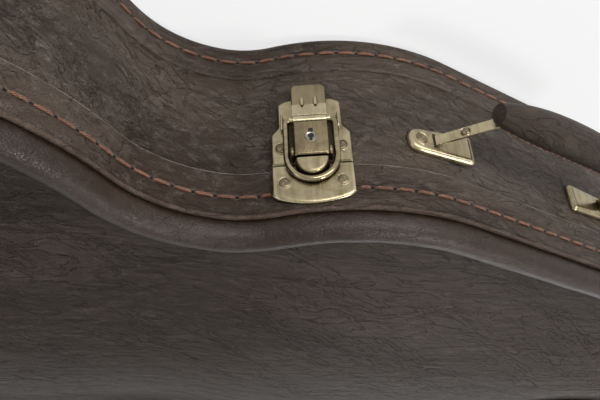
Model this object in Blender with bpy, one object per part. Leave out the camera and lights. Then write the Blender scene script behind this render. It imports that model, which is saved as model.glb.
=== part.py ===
"""Archtop guitar case with an arched, padded lid, stitched leather bands and draw latches.

The case lies on its back, lid up. X runs along its length with the tail at +X, the latches and
the handle are on the -Y side and the lid's hinges on the +Y side. The origin is the middle of
the back face. All sizes are in metres.
"""

import math

import bmesh
import bpy
from mathutils import Matrix, Vector

# Outline of the case, seen from above
LOWER_HALF_WIDTH = 0.234
TAIL_CORNER_RADIUS = 0.125
TAIL_CORNER_TURN = math.radians(50)
LOWER_BOUT_RADIUS = 0.190
LOWER_BOUT_TURN = math.radians(46)
WAIST_RADIUS_LOWER = 0.082
WAIST_RADIUS_UPPER = 0.056
UPPER_BOUT_RADIUS = 0.137
UPPER_BOUT_TURN = math.radians(31.5)
TAPER_TURN = math.radians(16)
TAPER_LENGTH = 0.140
SHOULDER_RADIUS = 0.090
SHOULDER_TURN = math.radians(49)
NECK_LENGTH = 0.261
HEAD_CORNER_RADIUS = 0.070
HEAD_END_FLAT = 0.005

# Heights above the back face
PARTING_HEIGHT = 0.0980
LID_RIM_HEIGHT = 0.0300
ROLL_DIAMETER = 0.0150
ARCH_HEIGHT = 0.0240
ROLL_SEAT_SHARE = 0.62
ROLL_INSET_SHARE = 0.85
ROLL_RISE_SHARE = 0.72
ROLL_WRAP = math.radians(60)
ARCH_NARROW_SHARE = 0.35
ARCH_HEAD_REACH = 0.087

# Walls, padding and clearances
WALL = 0.0050
EDGE_RADIUS = 0.0050
EDGE_MIDDLE_SHARE = 0.3
PARTING_GAP = 0.0006
TOUCH_GAP = 0.0003
RUNNING_GAP = 0.0003
LINING = 0.0120
LINING_ROUND_SHARE = 0.3
FLOOR_PADDING = 0.0080
LID_PADDING = 0.0060
BAND_THICKNESS = 0.0020
BACK_BAND_WIDTH = 0.0235
LID_BAND_WIDTH = 0.0265
BEAD_RADIUS = 0.0016

# Latches
LATCH_FROM_WAIST = 0.0485
PLATE_WIDTH = 0.0445
PLATE_TOP_WIDTH = 0.0357
PLATE_HEIGHT = 0.0442
PLATE_NARROW_HEIGHT = 0.0190
CATCH_HEIGHT = 0.0200
CATCH_BOW = 0.0050
METAL = 0.0014
LEVER_WIDTH = 0.0190
LEVER_PIVOT_OUT = 0.0075
LEVER_PIVOT_DROP = 0.0045
LEVER_HEIGHT = 0.0110
LEVER_BOX_LENGTH = 0.0270
TAB_LENGTH = 0.0160
TAB_OUT = 0.0060
EAR_THICKNESS = 0.0015
EAR_RADIUS = 0.0029
PIN_RADIUS = 0.0012
LOOP_WIRE = 0.0024
LOOP_WIDTH = 0.0300
LOOP_PIVOT_DROP = 0.0270
LOOP_PIVOT_OUT = 0.0062
HOOK_WIDTH = 0.0187
HOOK_OUT = 0.0097
HOOK_REACH = 0.0118
HOOK_TIP_SHARE = 0.78
RIVET_RADIUS = 0.0031
RIVET_RISE = 0.0012
RIVET_EDGE_GAP = 0.0050
BASE_RIVET_DROP = 0.0090
CATCH_RIVET_RISE = 0.0110
PLUG_RADIUS = 0.0027
PLUG_DEPTH = 0.0040
PLUG_DROP = 0.0120
KEY_SLOT_WIDTH = 0.0008

# Handle
HANDLE_FROM_WAIST = 0.1185
HANDLE_SPAN = 0.140
HANDLE_HEIGHT = 0.0780
GRIP_BOW = 0.0040
END_PLATE_LENGTH = 0.0430
END_PLATE_WIDTH = 0.0200
END_PLATE_RISE = 0.0080
END_PLATE_SLOPE = 0.0025
END_PLATE_OUTER_REACH = 0.0160
END_PLATE_FOOT_SHARE = 0.8
TANG_WIDTH = 0.0070
TANG_THICKNESS = 0.0016
TANG_HEAD = 0.0110
TANG_PLAY = 0.0024
TANG_LEAN = math.radians(52)
TANG_BURIED = 0.0096
GRIP_LENGTH = 0.1165
GRIP_WIDTH = 0.0240
GRIP_THICKNESS = 0.0180

# Lid hinges
HINGE_WIDTH = 0.0440
HINGE_LEAF_HEIGHT = 0.0200
KNUCKLE_RADIUS = 0.0026
LEAF_RIVET_SIDE = 0.0143
LEAF_RIVET_RISE = 0.0110
HINGE_PIN_RADIUS = 0.0011

# Inside the case
CRADLE_LENGTH = 0.0300
CRADLE_HEIGHT = 0.0720
NECK_WIDTH = 0.0600
BOX_FROM_HEAD = 0.2150
BOX_LENGTH = 0.1350
BOX_HEIGHT = 0.0480
BOX_WALL = 0.0050
BOX_LID = 0.0040
TAB_WIDTH = 0.0160
CRADLE_GAP = 0.0040
CRADLE_SIDE_GAP = 0.0020
HEAD_CRADLE_SHARE = 0.8
NECK_NOTCH_DEPTH = 0.0240
NOTCH_SQUARENESS = 0.6
HEAD_NOTCH_DEPTH = 0.0180

# Where the latches are
TAIL_LATCH_FROM_LOWER_BOUT = 0.040
NECK_LATCH_SHARE = 0.20
HEAD_LATCH_SHARE = 0.86


for old in list(bpy.data.objects):
    bpy.data.objects.remove(old, do_unlink=True)


def material(name, color, roughness, metallic=0.0):
    made = bpy.data.materials.new(name)
    made.use_nodes = True
    shader = made.node_tree.nodes["Principled BSDF"]
    shader.inputs["Base Color"].default_value = (*color, 1.0)
    shader.inputs["Roughness"].default_value = roughness
    shader.inputs["Metallic"].default_value = metallic
    made.diffuse_color = (*color, 1.0)
    return made


LEATHERETTE = material("brown_leatherette", (0.075, 0.055, 0.043), 0.5)
BAND_LEATHER = material("brown_band_leather", (0.088, 0.066, 0.052), 0.45)
ANTIQUE_BRASS = material("antique_brass", (0.42, 0.34, 0.18), 0.32, 1.0)
PLUSH = material("gold_plush", (0.34, 0.20, 0.075), 0.95)
GRIP_LEATHER = material("grip_leather", (0.055, 0.038, 0.028), 0.5)


def add(name, mesh_data, surface, smooth=False):
    """Links an object that holds this mesh, with its material."""
    made = bpy.data.objects.new(name, mesh_data)
    bpy.context.scene.collection.objects.link(made)
    made.data.materials.append(surface)
    if smooth:
        made.data.shade_smooth()
        made.data.set_sharp_from_angle(angle=math.radians(35))
    return made


def finish_mesh(name, bm):
    bmesh.ops.remove_doubles(bm, verts=bm.verts, dist=1e-6)
    bmesh.ops.dissolve_degenerate(bm, edges=bm.edges, dist=1e-7)
    bmesh.ops.recalc_face_normals(bm, faces=bm.faces)
    data = bpy.data.meshes.new(name)
    bm.to_mesh(data)
    bm.free()
    return data


def loft(name, rings, surface, smooth=False, caps=(True, True), closed=False):
    """One body through rings of as many points each; closed joins the last ring to the first."""
    bm = bmesh.new()
    rows = [[bm.verts.new(point) for point in ring] for ring in rings]
    pairs = list(zip(rows, rows[1:]))
    if closed:
        pairs.append((rows[-1], rows[0]))
    count = len(rows[0])
    for low, high in pairs:
        for i in range(count):
            j = (i + 1) % count
            bm.faces.new((low[i], low[j], high[j], high[i]))
    if caps[0] and not closed:
        bm.faces.new(rows[0])
    if caps[1] and not closed:
        bm.faces.new(rows[-1])
    return add(name, finish_mesh(name, bm), surface, smooth)


def boolean(target, tool, operation):
    """Cuts or joins with another object, which stays in the file as a hidden helper."""
    tool.hide_render = True
    tool.display_type = "WIRE"
    step = target.modifiers.new(operation.title() + "_" + tool.name, "BOOLEAN")
    step.operation = operation
    step.solver = "EXACT"
    step.object = tool
    return target


# Outline

def walk(start, segments, inset, side):
    """Points along tangent arcs and lines. Angles are how steeply the edge falls to the middle."""
    x, y = start
    points = [(x, y)]
    for kind, size, begin, end, steps in segments:
        for i in range(steps):
            first = begin + (end - begin) * i / steps
            last = begin + (end - begin) * (i + 1) / steps
            if kind == "line":
                x += side * size / steps * math.cos(begin)
                y -= size / steps * math.sin(begin)
            else:
                bend = size - inset if kind == "convex" else -(size + inset)
                x += side * bend * (math.sin(last) - math.sin(first))
                y -= bend * (math.cos(first) - math.cos(last))
            points.append((x, y))
    return points


QUARTER = math.radians(90)
TAIL_END_RADIUS = (
    LOWER_HALF_WIDTH - TAIL_CORNER_RADIUS * (1 - math.cos(TAIL_CORNER_TURN))
) / math.cos(TAIL_CORNER_TURN)
TAIL_SEGMENTS = (
    ("convex", TAIL_CORNER_RADIUS, 0.0, TAIL_CORNER_TURN, 5),
    ("convex", TAIL_END_RADIUS, TAIL_CORNER_TURN, QUARTER, 4),
)
SIDE_SEGMENTS = (
    ("convex", LOWER_BOUT_RADIUS, 0.0, LOWER_BOUT_TURN, 5),
    ("concave", WAIST_RADIUS_LOWER, LOWER_BOUT_TURN, 0.0, 4),
    ("concave", WAIST_RADIUS_UPPER, 0.0, -UPPER_BOUT_TURN, 3),
    ("convex", UPPER_BOUT_RADIUS, -UPPER_BOUT_TURN, 0.0, 4),
    ("convex", UPPER_BOUT_RADIUS, 0.0, TAPER_TURN, 2),
    ("line", TAPER_LENGTH, TAPER_TURN, TAPER_TURN, 2),
    ("convex", SHOULDER_RADIUS, TAPER_TURN, SHOULDER_TURN, 2),
    ("concave", SHOULDER_RADIUS, SHOULDER_TURN, 0.0, 3),
    ("line", NECK_LENGTH, 0.0, 0.0, 4),
)
NECK_HALF_WIDTH = LOWER_HALF_WIDTH + walk((0.0, 0.0), SIDE_SEGMENTS, 0.0, -1)[-1][1]
HEAD_CORNER_FIT = min(HEAD_CORNER_RADIUS, NECK_HALF_WIDTH - HEAD_END_FLAT)
HEAD_SEGMENTS = SIDE_SEGMENTS + (("convex", HEAD_CORNER_FIT, 0.0, QUARTER, 6),)


def reach(segments, side):
    return walk((0.0, 0.0), segments, 0.0, side)[-1][0]


TAIL_REACH = reach(TAIL_SEGMENTS, 1)
HEAD_REACH = reach(HEAD_SEGMENTS, -1)
LOWER_X = -(TAIL_REACH + HEAD_REACH) / 2
HALF_LENGTH = LOWER_X + TAIL_REACH
WAIST_X = LOWER_X + reach(HEAD_SEGMENTS[:2], -1)
UPPER_X = LOWER_X + reach(HEAD_SEGMENTS[:4], -1)
TAPER_X = LOWER_X + reach(HEAD_SEGMENTS[:5], -1)
NECK_X = LOWER_X + reach(HEAD_SEGMENTS[:8], -1)
WAIST_HALF_WIDTH = LOWER_HALF_WIDTH - (LOWER_BOUT_RADIUS + WAIST_RADIUS_LOWER) * (
    1 - math.cos(LOWER_BOUT_TURN)
)
UPPER_HALF_WIDTH = WAIST_HALF_WIDTH + (WAIST_RADIUS_UPPER + UPPER_BOUT_RADIUS) * (
    1 - math.cos(UPPER_BOUT_TURN)
)


def half_outline(inset):
    """The +Y half of the outline from the tail's middle to the head's, moved in by the inset."""
    start = (LOWER_X, LOWER_HALF_WIDTH - inset)
    tail = walk(start, TAIL_SEGMENTS, inset, 1)
    head = walk(start, HEAD_SEGMENTS, inset, -1)
    tail[-1] = (tail[-1][0], 0.0)
    return tail[::-1] + head[1:] + [(head[-1][0], 0.0)]


def outline(inset):
    half = half_outline(inset)
    return half + [(x, -y) for x, y in half[-2:0:-1]]


def ring(inset, height):
    return [(x, y, height) for x, y in outline(inset)]


def half_width(x, inset):
    """How far the outline reaches from the middle at this place along the case."""
    half = half_outline(inset)
    for (x1, y1), (x2, y2) in zip(half, half[1:]):
        if x2 <= x <= x1 and x1 > x2:
            return y1 + (y2 - y1) * (x1 - x) / (x1 - x2)
    return 0.0


def wall_frame(x, height, side=-1):
    """A frame on the wall: local X along it, local -Y out of it, at this place along the case."""
    step = 0.002
    y = half_width(x, 0.0)
    slope = (half_width(x + step, 0.0) - half_width(x - step, 0.0)) / (2 * step)
    normal = Vector((-slope, 1.0, 0.0)).normalized()
    normal.y *= side
    turn = math.atan2(normal.x, -normal.y)
    return Matrix.Translation((x, side * y, height)) @ Matrix.Rotation(turn, 4, "Z")


# Small solids in a wall frame: (out, up) profiles run along the wall, (along, up) plates out of it

def prism(name, profile, low, high, surface, frame, origin=(0.0, 0.0), smooth=False):
    """An (out, up) profile run along the wall from low to high, its origin at (out, up)."""
    out0, up0 = origin
    rings = [[(s, out0 - out, up - up0) for out, up in profile] for s in (low, high)]
    made = loft(name, rings, surface, smooth)
    made.matrix_world = frame @ Matrix.Translation((0.0, -out0, up0))
    return made


def plate(name, layers, surface, frame, smooth=False):
    """A plate through (out, [(along, up), ...]) layers."""
    rings = [[(s, -out, up) for s, up in shape] for out, shape in layers]
    made = loft(name, rings, surface, smooth)
    made.matrix_world = frame
    return made


def circle(radius, steps, center=(0.0, 0.0), begin=0.0, end=2 * math.pi):
    whole = abs(end - begin - 2 * math.pi) < 1e-9
    last = steps if whole else steps + 1
    return [
        (
            center[0] + radius * math.cos(begin + (end - begin) * i / steps),
            center[1] + radius * math.sin(begin + (end - begin) * i / steps),
        )
        for i in range(last)
    ]


def box(name, low, high, surface, frame=None):
    """A box between two corners given as (along, out, up) in a frame."""
    corners = [(low[0], low[2]), (high[0], low[2]), (high[0], high[2]), (low[0], high[2])]
    layers = ((low[1], corners), (high[1], corners))
    return plate(name, layers, surface, frame or Matrix.Identity(4))


def rivets(target, places, out, frame):
    """Low rivet heads, joined to the plate that they hold."""
    sides = 8
    for i, (along, up) in enumerate(places):
        layers = [
            (out - METAL / 2, circle(RIVET_RADIUS, sides, (along, up))),
            (out + RIVET_RISE / 2, circle(RIVET_RADIUS, sides, (along, up))),
            (out + RIVET_RISE, circle(RIVET_RADIUS * 0.5, sides, (along, up))),
        ]
        head = plate(f"{target.name}_rivet_{i}", layers, ANTIQUE_BRASS, frame)
        boolean(target, head, "UNION")


# Shells and bands

LID_TOP_HEIGHT = PARTING_HEIGHT + LID_RIM_HEIGHT
ROLL_SEAT = ROLL_SEAT_SHARE * ROLL_DIAMETER
CREASE_INSET = ROLL_INSET_SHARE * ROLL_DIAMETER
CREASE_HEIGHT = LID_TOP_HEIGHT + ROLL_RISE_SHARE * ROLL_DIAMETER


def spine_point(x):
    """The point on the middle line that the arch climbs to from a point of the outline."""
    tail_end = HALF_LENGTH - TAIL_END_RADIUS / 2
    head_end = ARCH_HEAD_REACH - HALF_LENGTH
    return min(max(x, head_end), tail_end)


def arch_ring(inset, foot, share, height):
    """A ring of the arched panel, this share of the way from its foot to the middle line."""
    points = []
    for x, y in outline(inset):
        middle = spine_point(x)
        local = ARCH_NARROW_SHARE
        local += (1 - ARCH_NARROW_SHARE) * half_width(middle, 0.0) / LOWER_HALF_WIDTH
        rise = height * local * math.sin(share * math.pi / 2) ** 2
        points.append((x + (middle - x) * share, y * (1 - share), foot + rise))
    return points


def make_bottom():
    top = PARTING_HEIGHT
    rings = [
        ring(EDGE_RADIUS, 0.0),
        ring(EDGE_RADIUS * EDGE_MIDDLE_SHARE, EDGE_RADIUS * EDGE_MIDDLE_SHARE),
        ring(0.0, EDGE_RADIUS),
        ring(0.0, top),
        ring(WALL, top),
        ring(WALL, WALL),
    ]
    loft("bottom_shell", rings, LEATHERETTE)

    low = EDGE_RADIUS
    high = low + BACK_BAND_WIDTH
    inner = -TOUCH_GAP
    outer = inner - BAND_THICKNESS
    rings = [
        ring(inner, low),
        ring(outer, low + BAND_THICKNESS / 2),
        ring(outer, high - BAND_THICKNESS / 2),
        ring(inner, high),
    ]
    loft("back_band", rings, BAND_LEATHER, closed=True)

    skin = WALL + TOUCH_GAP
    rings = [
        ring(skin, skin),
        ring(skin, top - 2 * TOUCH_GAP),
        ring(skin + LINING * (1 - LINING_ROUND_SHARE), top - 2 * TOUCH_GAP),
        ring(skin + LINING, top - LINING * LINING_ROUND_SHARE),
        ring(skin + LINING, skin + FLOOR_PADDING),
    ]
    loft("bottom_lining", rings, PLUSH)


def make_lid():
    low = PARTING_HEIGHT + PARTING_GAP
    seat = LID_TOP_HEIGHT
    panel_inset = CREASE_INSET
    shares = (1.0, 0.7, 0.45, 0.25, 0.1, 0.0)
    rings = [arch_ring(panel_inset, CREASE_HEIGHT, t, ARCH_HEIGHT) for t in shares]
    rings += [
        ring(ROLL_SEAT, seat),
        ring(0.0, seat),
        ring(0.0, low),
        ring(WALL, low),
        ring(WALL, seat - WALL),
    ]
    inside = panel_inset + WALL
    rings += [arch_ring(inside, CREASE_HEIGHT - WALL, t, ARCH_HEIGHT) for t in (0.0, 0.45, 1.0)]
    loft("lid_shell", rings, LEATHERETTE, caps=(False, False))

    start = low + TOUCH_GAP
    end = start + LID_BAND_WIDTH
    inner = -TOUCH_GAP
    outer = inner - BAND_THICKNESS
    bead = end + BEAD_RADIUS
    rings = [
        ring(inner, start),
        ring(outer, start),
        ring(outer, end),
        ring(outer - BEAD_RADIUS * 0.6, bead),
        ring(outer + BEAD_RADIUS * 0.5, bead + BEAD_RADIUS),
        ring(inner, bead),
    ]
    loft("lid_band", rings, BAND_LEATHER, closed=True)

    middle = (ROLL_DIAMETER / 2, seat + TOUCH_GAP + ROLL_DIAMETER / 2)
    seated = ROLL_SEAT - TOUCH_GAP
    profile = [(seated, seat + TOUCH_GAP)]
    steps = 6
    for i in range(1, steps + 1):
        turn = -QUARTER + (QUARTER + ROLL_WRAP) * i / steps
        profile.append((
            middle[0] - ROLL_DIAMETER / 2 * math.cos(turn),
            middle[1] + ROLL_DIAMETER / 2 * math.sin(turn),
        ))
    profile.append((CREASE_INSET - TOUCH_GAP, CREASE_HEIGHT + TOUCH_GAP))
    loft("shoulder_roll", [ring(*point) for point in profile], LEATHERETTE, closed=True)

    skin = WALL + TOUCH_GAP
    rings = [
        ring(skin, low + TOUCH_GAP),
        ring(skin, seat - WALL - TOUCH_GAP),
    ]
    inside = CREASE_INSET + WALL + TOUCH_GAP
    under = CREASE_HEIGHT - WALL - 3 * TOUCH_GAP
    rings += [arch_ring(inside, under, t, ARCH_HEIGHT) for t in (0.0, 0.45, 1.0)]
    rings = rings[::-1]
    rings.append(ring(skin + LID_PADDING, low + TOUCH_GAP))
    rings.append(ring(skin + LID_PADDING, seat - WALL - LID_PADDING))
    under -= LID_PADDING
    inside += LID_PADDING
    rings += [arch_ring(inside, under, t, ARCH_HEIGHT) for t in (0.0, 0.45, 1.0)]
    loft("lid_lining", rings, PLUSH, caps=(False, False))


# Latches

PIVOT_UP = -LEVER_PIVOT_DROP
CATCH_OUT = BAND_THICKNESS + 2 * TOUCH_GAP
LOOP_SIDE = (LOOP_WIDTH - LOOP_WIRE) / 2


def base_outline():
    wide = PLATE_WIDTH / 2
    narrow = PLATE_TOP_WIDTH / 2
    end = -PARTING_GAP
    top = end - PLATE_HEIGHT
    neck = top + PLATE_NARROW_HEIGHT
    shoulder = neck + (wide - narrow)
    right = [(wide, end), (wide, shoulder), (narrow, neck)]
    right += [(narrow, top + METAL), (narrow - METAL, top)]
    return right + [(-s, up) for s, up in right[::-1]]


def catch_outline():
    wide = PLATE_WIDTH / 2
    begin = 2 * PARTING_GAP
    end = begin + CATCH_HEIGHT
    steps = 6
    bowed = []
    for i in range(steps + 1):
        along = wide - 2 * wide * i / steps
        bowed.append((along, end + CATCH_BOW * (1 - (along / wide) ** 2)))
    return [(wide, begin)] + bowed + [(-wide, begin)]


def hook_outline(reach_up, width):
    begin = 4 * PARTING_GAP
    steps = 6
    rise = reach_up - begin
    turns = [math.pi * i / steps for i in range(steps + 1)]
    return [(width / 2 * math.cos(turn), begin + rise * math.sin(turn)) for turn in turns]


def lever_profile():
    """The lever from its finger tab to the round end about its pivot, as (out, up)."""
    top = LEVER_HEIGHT
    back = METAL + 3 * TOUCH_GAP
    bend = -LEVER_BOX_LENGTH - LEVER_PIVOT_DROP + EAR_RADIUS
    slope = bend - (top - TAB_OUT) * 2
    end = slope - TAB_LENGTH
    center = (LEVER_PIVOT_OUT, PIVOT_UP)
    nose = circle(EAR_RADIUS, 4, center, 0.0, QUARTER * 1.75)
    return [
        (TAB_OUT - METAL, end),
        (TAB_OUT, end),
        (TAB_OUT, slope),
        (top - METAL / 2, bend),
        (top, bend + METAL),
        (top, PIVOT_UP - EAR_RADIUS),
        *nose,
        (back, PIVOT_UP - 2 * EAR_RADIUS),
        (back, bend),
        (TAB_OUT - METAL, slope + METAL),
    ]


def make_loop(name, frame):
    """The wire loop, its ends turned into the lever, with its origin on its pivot."""
    side = LOOP_SIDE
    bottom = LOOP_PIVOT_DROP + HOOK_REACH + TOUCH_GAP + LOOP_WIRE / 2
    turn_in = LEVER_WIDTH / 2 - 2 * METAL
    lean = CATCH_OUT + METAL + LOOP_WIRE - LOOP_PIVOT_OUT
    bow = [
        (side * math.cos(math.pi * i / 6), bottom - side + side * math.sin(math.pi * i / 6))
        for i in range(7)
    ]
    corner = LOOP_WIRE
    right = [(turn_in, 0.0), (side - corner, 0.0), (side - corner * 0.3, corner * 0.3), (side, corner)]
    path = right + bow + [(-s, up) for s, up in right[::-1]]
    curve = bpy.data.curves.new(name, "CURVE")
    curve.dimensions = "3D"
    curve.bevel_depth = LOOP_WIRE / 2
    curve.bevel_resolution = 1
    curve.use_fill_caps = True
    line = curve.splines.new("POLY")
    line.points.add(len(path) - 1)
    for point, (along, up) in zip(line.points, path):
        point.co = (along, -lean * up / bottom, up, 1.0)
    made = add(name, curve, ANTIQUE_BRASS)
    made.matrix_world = frame @ Matrix.Translation((0.0, -LOOP_PIVOT_OUT, -LOOP_PIVOT_DROP))
    return made


def make_latch(name, x, locking):
    frame = wall_frame(x, PARTING_HEIGHT)
    front = TOUCH_GAP + METAL
    pivot = (LEVER_PIVOT_OUT, PIVOT_UP)
    half = LEVER_WIDTH / 2
    reach_s = half + TOUCH_GAP + EAR_THICKNESS

    base = plate(
        name + "_base",
        ((TOUCH_GAP, base_outline()), (front, base_outline())),
        ANTIQUE_BRASS,
        frame,
    )
    ear = [(front - METAL / 2, PIVOT_UP - EAR_RADIUS * 1.4)]
    ear += circle(EAR_RADIUS, 4, pivot, -QUARTER, QUARTER)
    ear += [(front - METAL / 2, PIVOT_UP + EAR_RADIUS)]
    for label, sign in (("left", -1), ("right", 1)):
        low, high = sorted((sign * (half + TOUCH_GAP), sign * reach_s))
        side_ear = prism(f"{name}_ear_{label}", ear, low, high, ANTIQUE_BRASS, frame)
        boolean(base, side_ear, "UNION")
    bore = circle(PIN_RADIUS + RUNNING_GAP, 8, pivot)
    bore_tool = prism(name + "_base_bore", bore, -PLATE_WIDTH, PLATE_WIDTH, ANTIQUE_BRASS, frame)
    boolean(base, bore_tool, "DIFFERENCE")
    rivet_side = PLATE_WIDTH / 2 - RIVET_EDGE_GAP
    rivet_drop = -PARTING_GAP - BASE_RIVET_DROP
    rivets(base, [(-rivet_side, rivet_drop), (rivet_side, rivet_drop)], front, frame)

    prism(
        name + "_pin",
        circle(PIN_RADIUS, 8, pivot),
        -reach_s,
        reach_s,
        ANTIQUE_BRASS,
        frame,
        origin=pivot,
        smooth=True,
    )

    lever = prism(name + "_lever", lever_profile(), -half, half, ANTIQUE_BRASS, frame, origin=pivot)
    boolean(lever, bore_tool, "DIFFERENCE")
    loop_bore = prism(
        name + "_loop_bore",
        circle(LOOP_WIRE / 2 + RUNNING_GAP, 8, (LOOP_PIVOT_OUT, -LOOP_PIVOT_DROP)),
        -PLATE_WIDTH,
        PLATE_WIDTH,
        ANTIQUE_BRASS,
        frame,
    )
    boolean(lever, loop_bore, "DIFFERENCE")
    if locking:
        around = circle(PLUG_RADIUS + RUNNING_GAP, 12, (0.0, -PLUG_DROP))
        seat = [
            (LEVER_HEIGHT - PLUG_DEPTH - TOUCH_GAP, around),
            (LEVER_HEIGHT + METAL, around),
        ]
        boolean(lever, plate(name + "_plug_seat", seat, ANTIQUE_BRASS, frame), "DIFFERENCE")
        shape = circle(PLUG_RADIUS, 12)
        plug = plate(
            "lock_cylinder",
            ((-PLUG_DEPTH, shape), (0.0, shape)),
            ANTIQUE_BRASS,
            frame @ Matrix.Translation((0.0, -LEVER_HEIGHT, -PLUG_DROP)),
        )
        key = box(
            "key_slot_cut",
            (-KEY_SLOT_WIDTH / 2, -PLUG_DEPTH / 2, -PLUG_RADIUS / 2),
            (KEY_SLOT_WIDTH / 2, PLUG_DEPTH, PLUG_RADIUS / 2),
            ANTIQUE_BRASS,
            plug.matrix_world,
        )
        boolean(plug, key, "DIFFERENCE")

    make_loop(name + "_loop", frame)

    low = CATCH_OUT
    high = CATCH_OUT + METAL
    layers = ((low, catch_outline()), (high, catch_outline()))
    catch = plate(name + "_catch", layers, ANTIQUE_BRASS, frame)
    full = hook_outline(HOOK_REACH, HOOK_WIDTH)
    tip = hook_outline(HOOK_REACH * HOOK_TIP_SHARE, HOOK_WIDTH)
    waist_out = (high + HOOK_OUT) / 2 + METAL
    hook = plate(
        name + "_hook",
        ((high - METAL / 2, full), (waist_out, full), (HOOK_OUT, tip)),
        ANTIQUE_BRASS,
        frame,
    )
    boolean(catch, hook, "UNION")
    places = [(-rivet_side, CATCH_RIVET_RISE), (rivet_side, CATCH_RIVET_RISE)]
    rivets(catch, places, high, frame)


# Handle

def end_plate_outline(inset, outer):
    """A plate with a round outer end; outer is the sign of its round end along the wall."""
    radius = END_PLATE_WIDTH / 2 - inset
    far = END_PLATE_LENGTH - 2 * inset
    start = END_PLATE_OUTER_REACH - END_PLATE_LENGTH + inset
    center = start + far - radius
    round_end = circle(radius, 8, (center, 0.0), -QUARTER, QUARTER)
    foot = radius * END_PLATE_FOOT_SHARE
    shape = [(start, -foot)] + round_end + [(start, foot)]
    return [(outer * s, up) for s, up in shape]


def make_handle():
    first_x = WAIST_X - HANDLE_FROM_WAIST
    second_x = first_x - HANDLE_SPAN
    first = wall_frame(first_x, HANDLE_HEIGHT)
    second = wall_frame(second_x, HANDLE_HEIGHT)
    chord = first.translation - second.translation
    span = chord.length / 2
    turn = math.atan2(chord.y, chord.x)
    middle = (first.translation + second.translation) / 2
    frame = Matrix.Translation(middle) @ Matrix.Rotation(turn, 4, "Z")

    inner_rise = END_PLATE_RISE - METAL
    slot_reach = TANG_THICKNESS / 2 + TANG_PLAY
    pocket_reach = slot_reach + METAL
    for label, place, outer in (("tail", first, 1), ("neck", second, -1)):
        layers = (
            (TOUCH_GAP, end_plate_outline(0.0, outer)),
            (TOUCH_GAP + METAL, end_plate_outline(0.0, outer)),
            (END_PLATE_RISE, end_plate_outline(END_PLATE_SLOPE, outer)),
        )
        cover = plate(f"handle_plate_{label}", layers, ANTIQUE_BRASS, place)
        pocket = box(
            f"handle_pocket_{label}",
            (-pocket_reach, -METAL, -TANG_HEAD / 2 - 2 * RUNNING_GAP),
            (pocket_reach, inner_rise, TANG_HEAD / 2 + 2 * RUNNING_GAP),
            ANTIQUE_BRASS,
            place,
        )
        slot = box(
            f"handle_slot_{label}",
            (-slot_reach, 0.0, -TANG_WIDTH / 2 - 2 * RUNNING_GAP),
            (slot_reach, 2 * END_PLATE_RISE, TANG_WIDTH / 2 + 2 * RUNNING_GAP),
            ANTIQUE_BRASS,
            place,
        )
        boolean(cover, pocket, "DIFFERENCE")
        boolean(cover, slot, "DIFFERENCE")

    elbow = END_PLATE_RISE + TANG_THICKNESS
    grip_end = GRIP_LENGTH / 2
    arm_end = grip_end - TANG_BURIED
    arm_run = span - arm_end
    arm_rise = arm_run * math.tan(TANG_LEAN)
    thick = TANG_THICKNESS
    for label, sign in (("tail", 1), ("neck", -1)):
        foot = METAL + TOUCH_GAP
        path = [(span, foot), (span, elbow), (arm_end, elbow + arm_rise)]
        end_s, end_o = path[2]
        shape = [(s + thick / 2, o) for s, o in path[:2]]
        shape += [(end_s, end_o + thick / 2), (end_s, end_o - thick / 2)]
        shape += [(s - thick / 2, o) for s, o in path[1::-1]]
        rings = [[(sign * s, -o, up) for s, o in shape] for up in (-TANG_WIDTH / 2, TANG_WIDTH / 2)]
        tang = loft(f"handle_tang_{label}", rings, ANTIQUE_BRASS)
        tang.matrix_world = frame
        head = box(
            f"handle_tang_head_{label}",
            (sign * span - thick / 2, foot, -TANG_HEAD / 2),
            (sign * span + thick / 2, foot + METAL, TANG_HEAD / 2),
            ANTIQUE_BRASS,
            frame,
        )
        boolean(tang, head, "UNION")

    half_stations = ((0.0, 1.04), (0.4, 1.0), (0.8, 0.85), (1.0, 0.55))
    stations = [(-share, full) for share, full in half_stations[:0:-1]] + list(half_stations)
    rings = []
    for share, fullness in stations:
        bow = elbow + arm_rise + GRIP_BOW * (1 - share * share)
        rings.append([
            (
                grip_end * share,
                -(bow + GRIP_THICKNESS / 2 * fullness * math.sin(a)),
                GRIP_WIDTH / 2 * fullness * math.cos(a),
            )
            for a in (2 * math.pi * k / 12 for k in range(12))
        ])
    grip = loft("handle_grip", rings, GRIP_LEATHER, smooth=True)
    grip.matrix_world = frame
    gap = TOUCH_GAP * 2
    for label, sign in (("tail", 1), ("neck", -1)):
        low = (-thick / 2 - gap) + elbow
        shape = [
            (arm_end - gap, low + arm_rise),
            (span, low),
            (span, low + thick + 3 * gap),
            (arm_end - gap, low + arm_rise + thick + 3 * gap),
        ]
        wide = TANG_WIDTH / 2 + gap
        rings = [[(sign * s, -o, up) for s, o in shape] for up in (-wide, wide)]
        slot = loft(f"grip_slot_{label}", rings, ANTIQUE_BRASS)
        slot.matrix_world = frame
        boolean(grip, slot, "DIFFERENCE")
    return frame


# Lid hinges, on the line that touches both bouts on the +Y side

def hinge_line():
    """The line's unit normal and the two places where it touches the bouts."""
    lower = Vector((LOWER_X, LOWER_HALF_WIDTH - LOWER_BOUT_RADIUS, 0.0))
    upper = Vector((UPPER_X, UPPER_HALF_WIDTH - UPPER_BOUT_RADIUS, 0.0))
    apart = lower - upper
    lean = math.asin((LOWER_BOUT_RADIUS - UPPER_BOUT_RADIUS) / apart.length)
    turn = math.atan2(apart.y, apart.x) + lean
    normal = Vector((-math.sin(turn), math.cos(turn), 0.0))
    return normal, lower + normal * LOWER_BOUT_RADIUS, upper + normal * UPPER_BOUT_RADIUS


HINGE_OUT = BAND_THICKNESS + 3 * TOUCH_GAP + KNUCKLE_RADIUS


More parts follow.
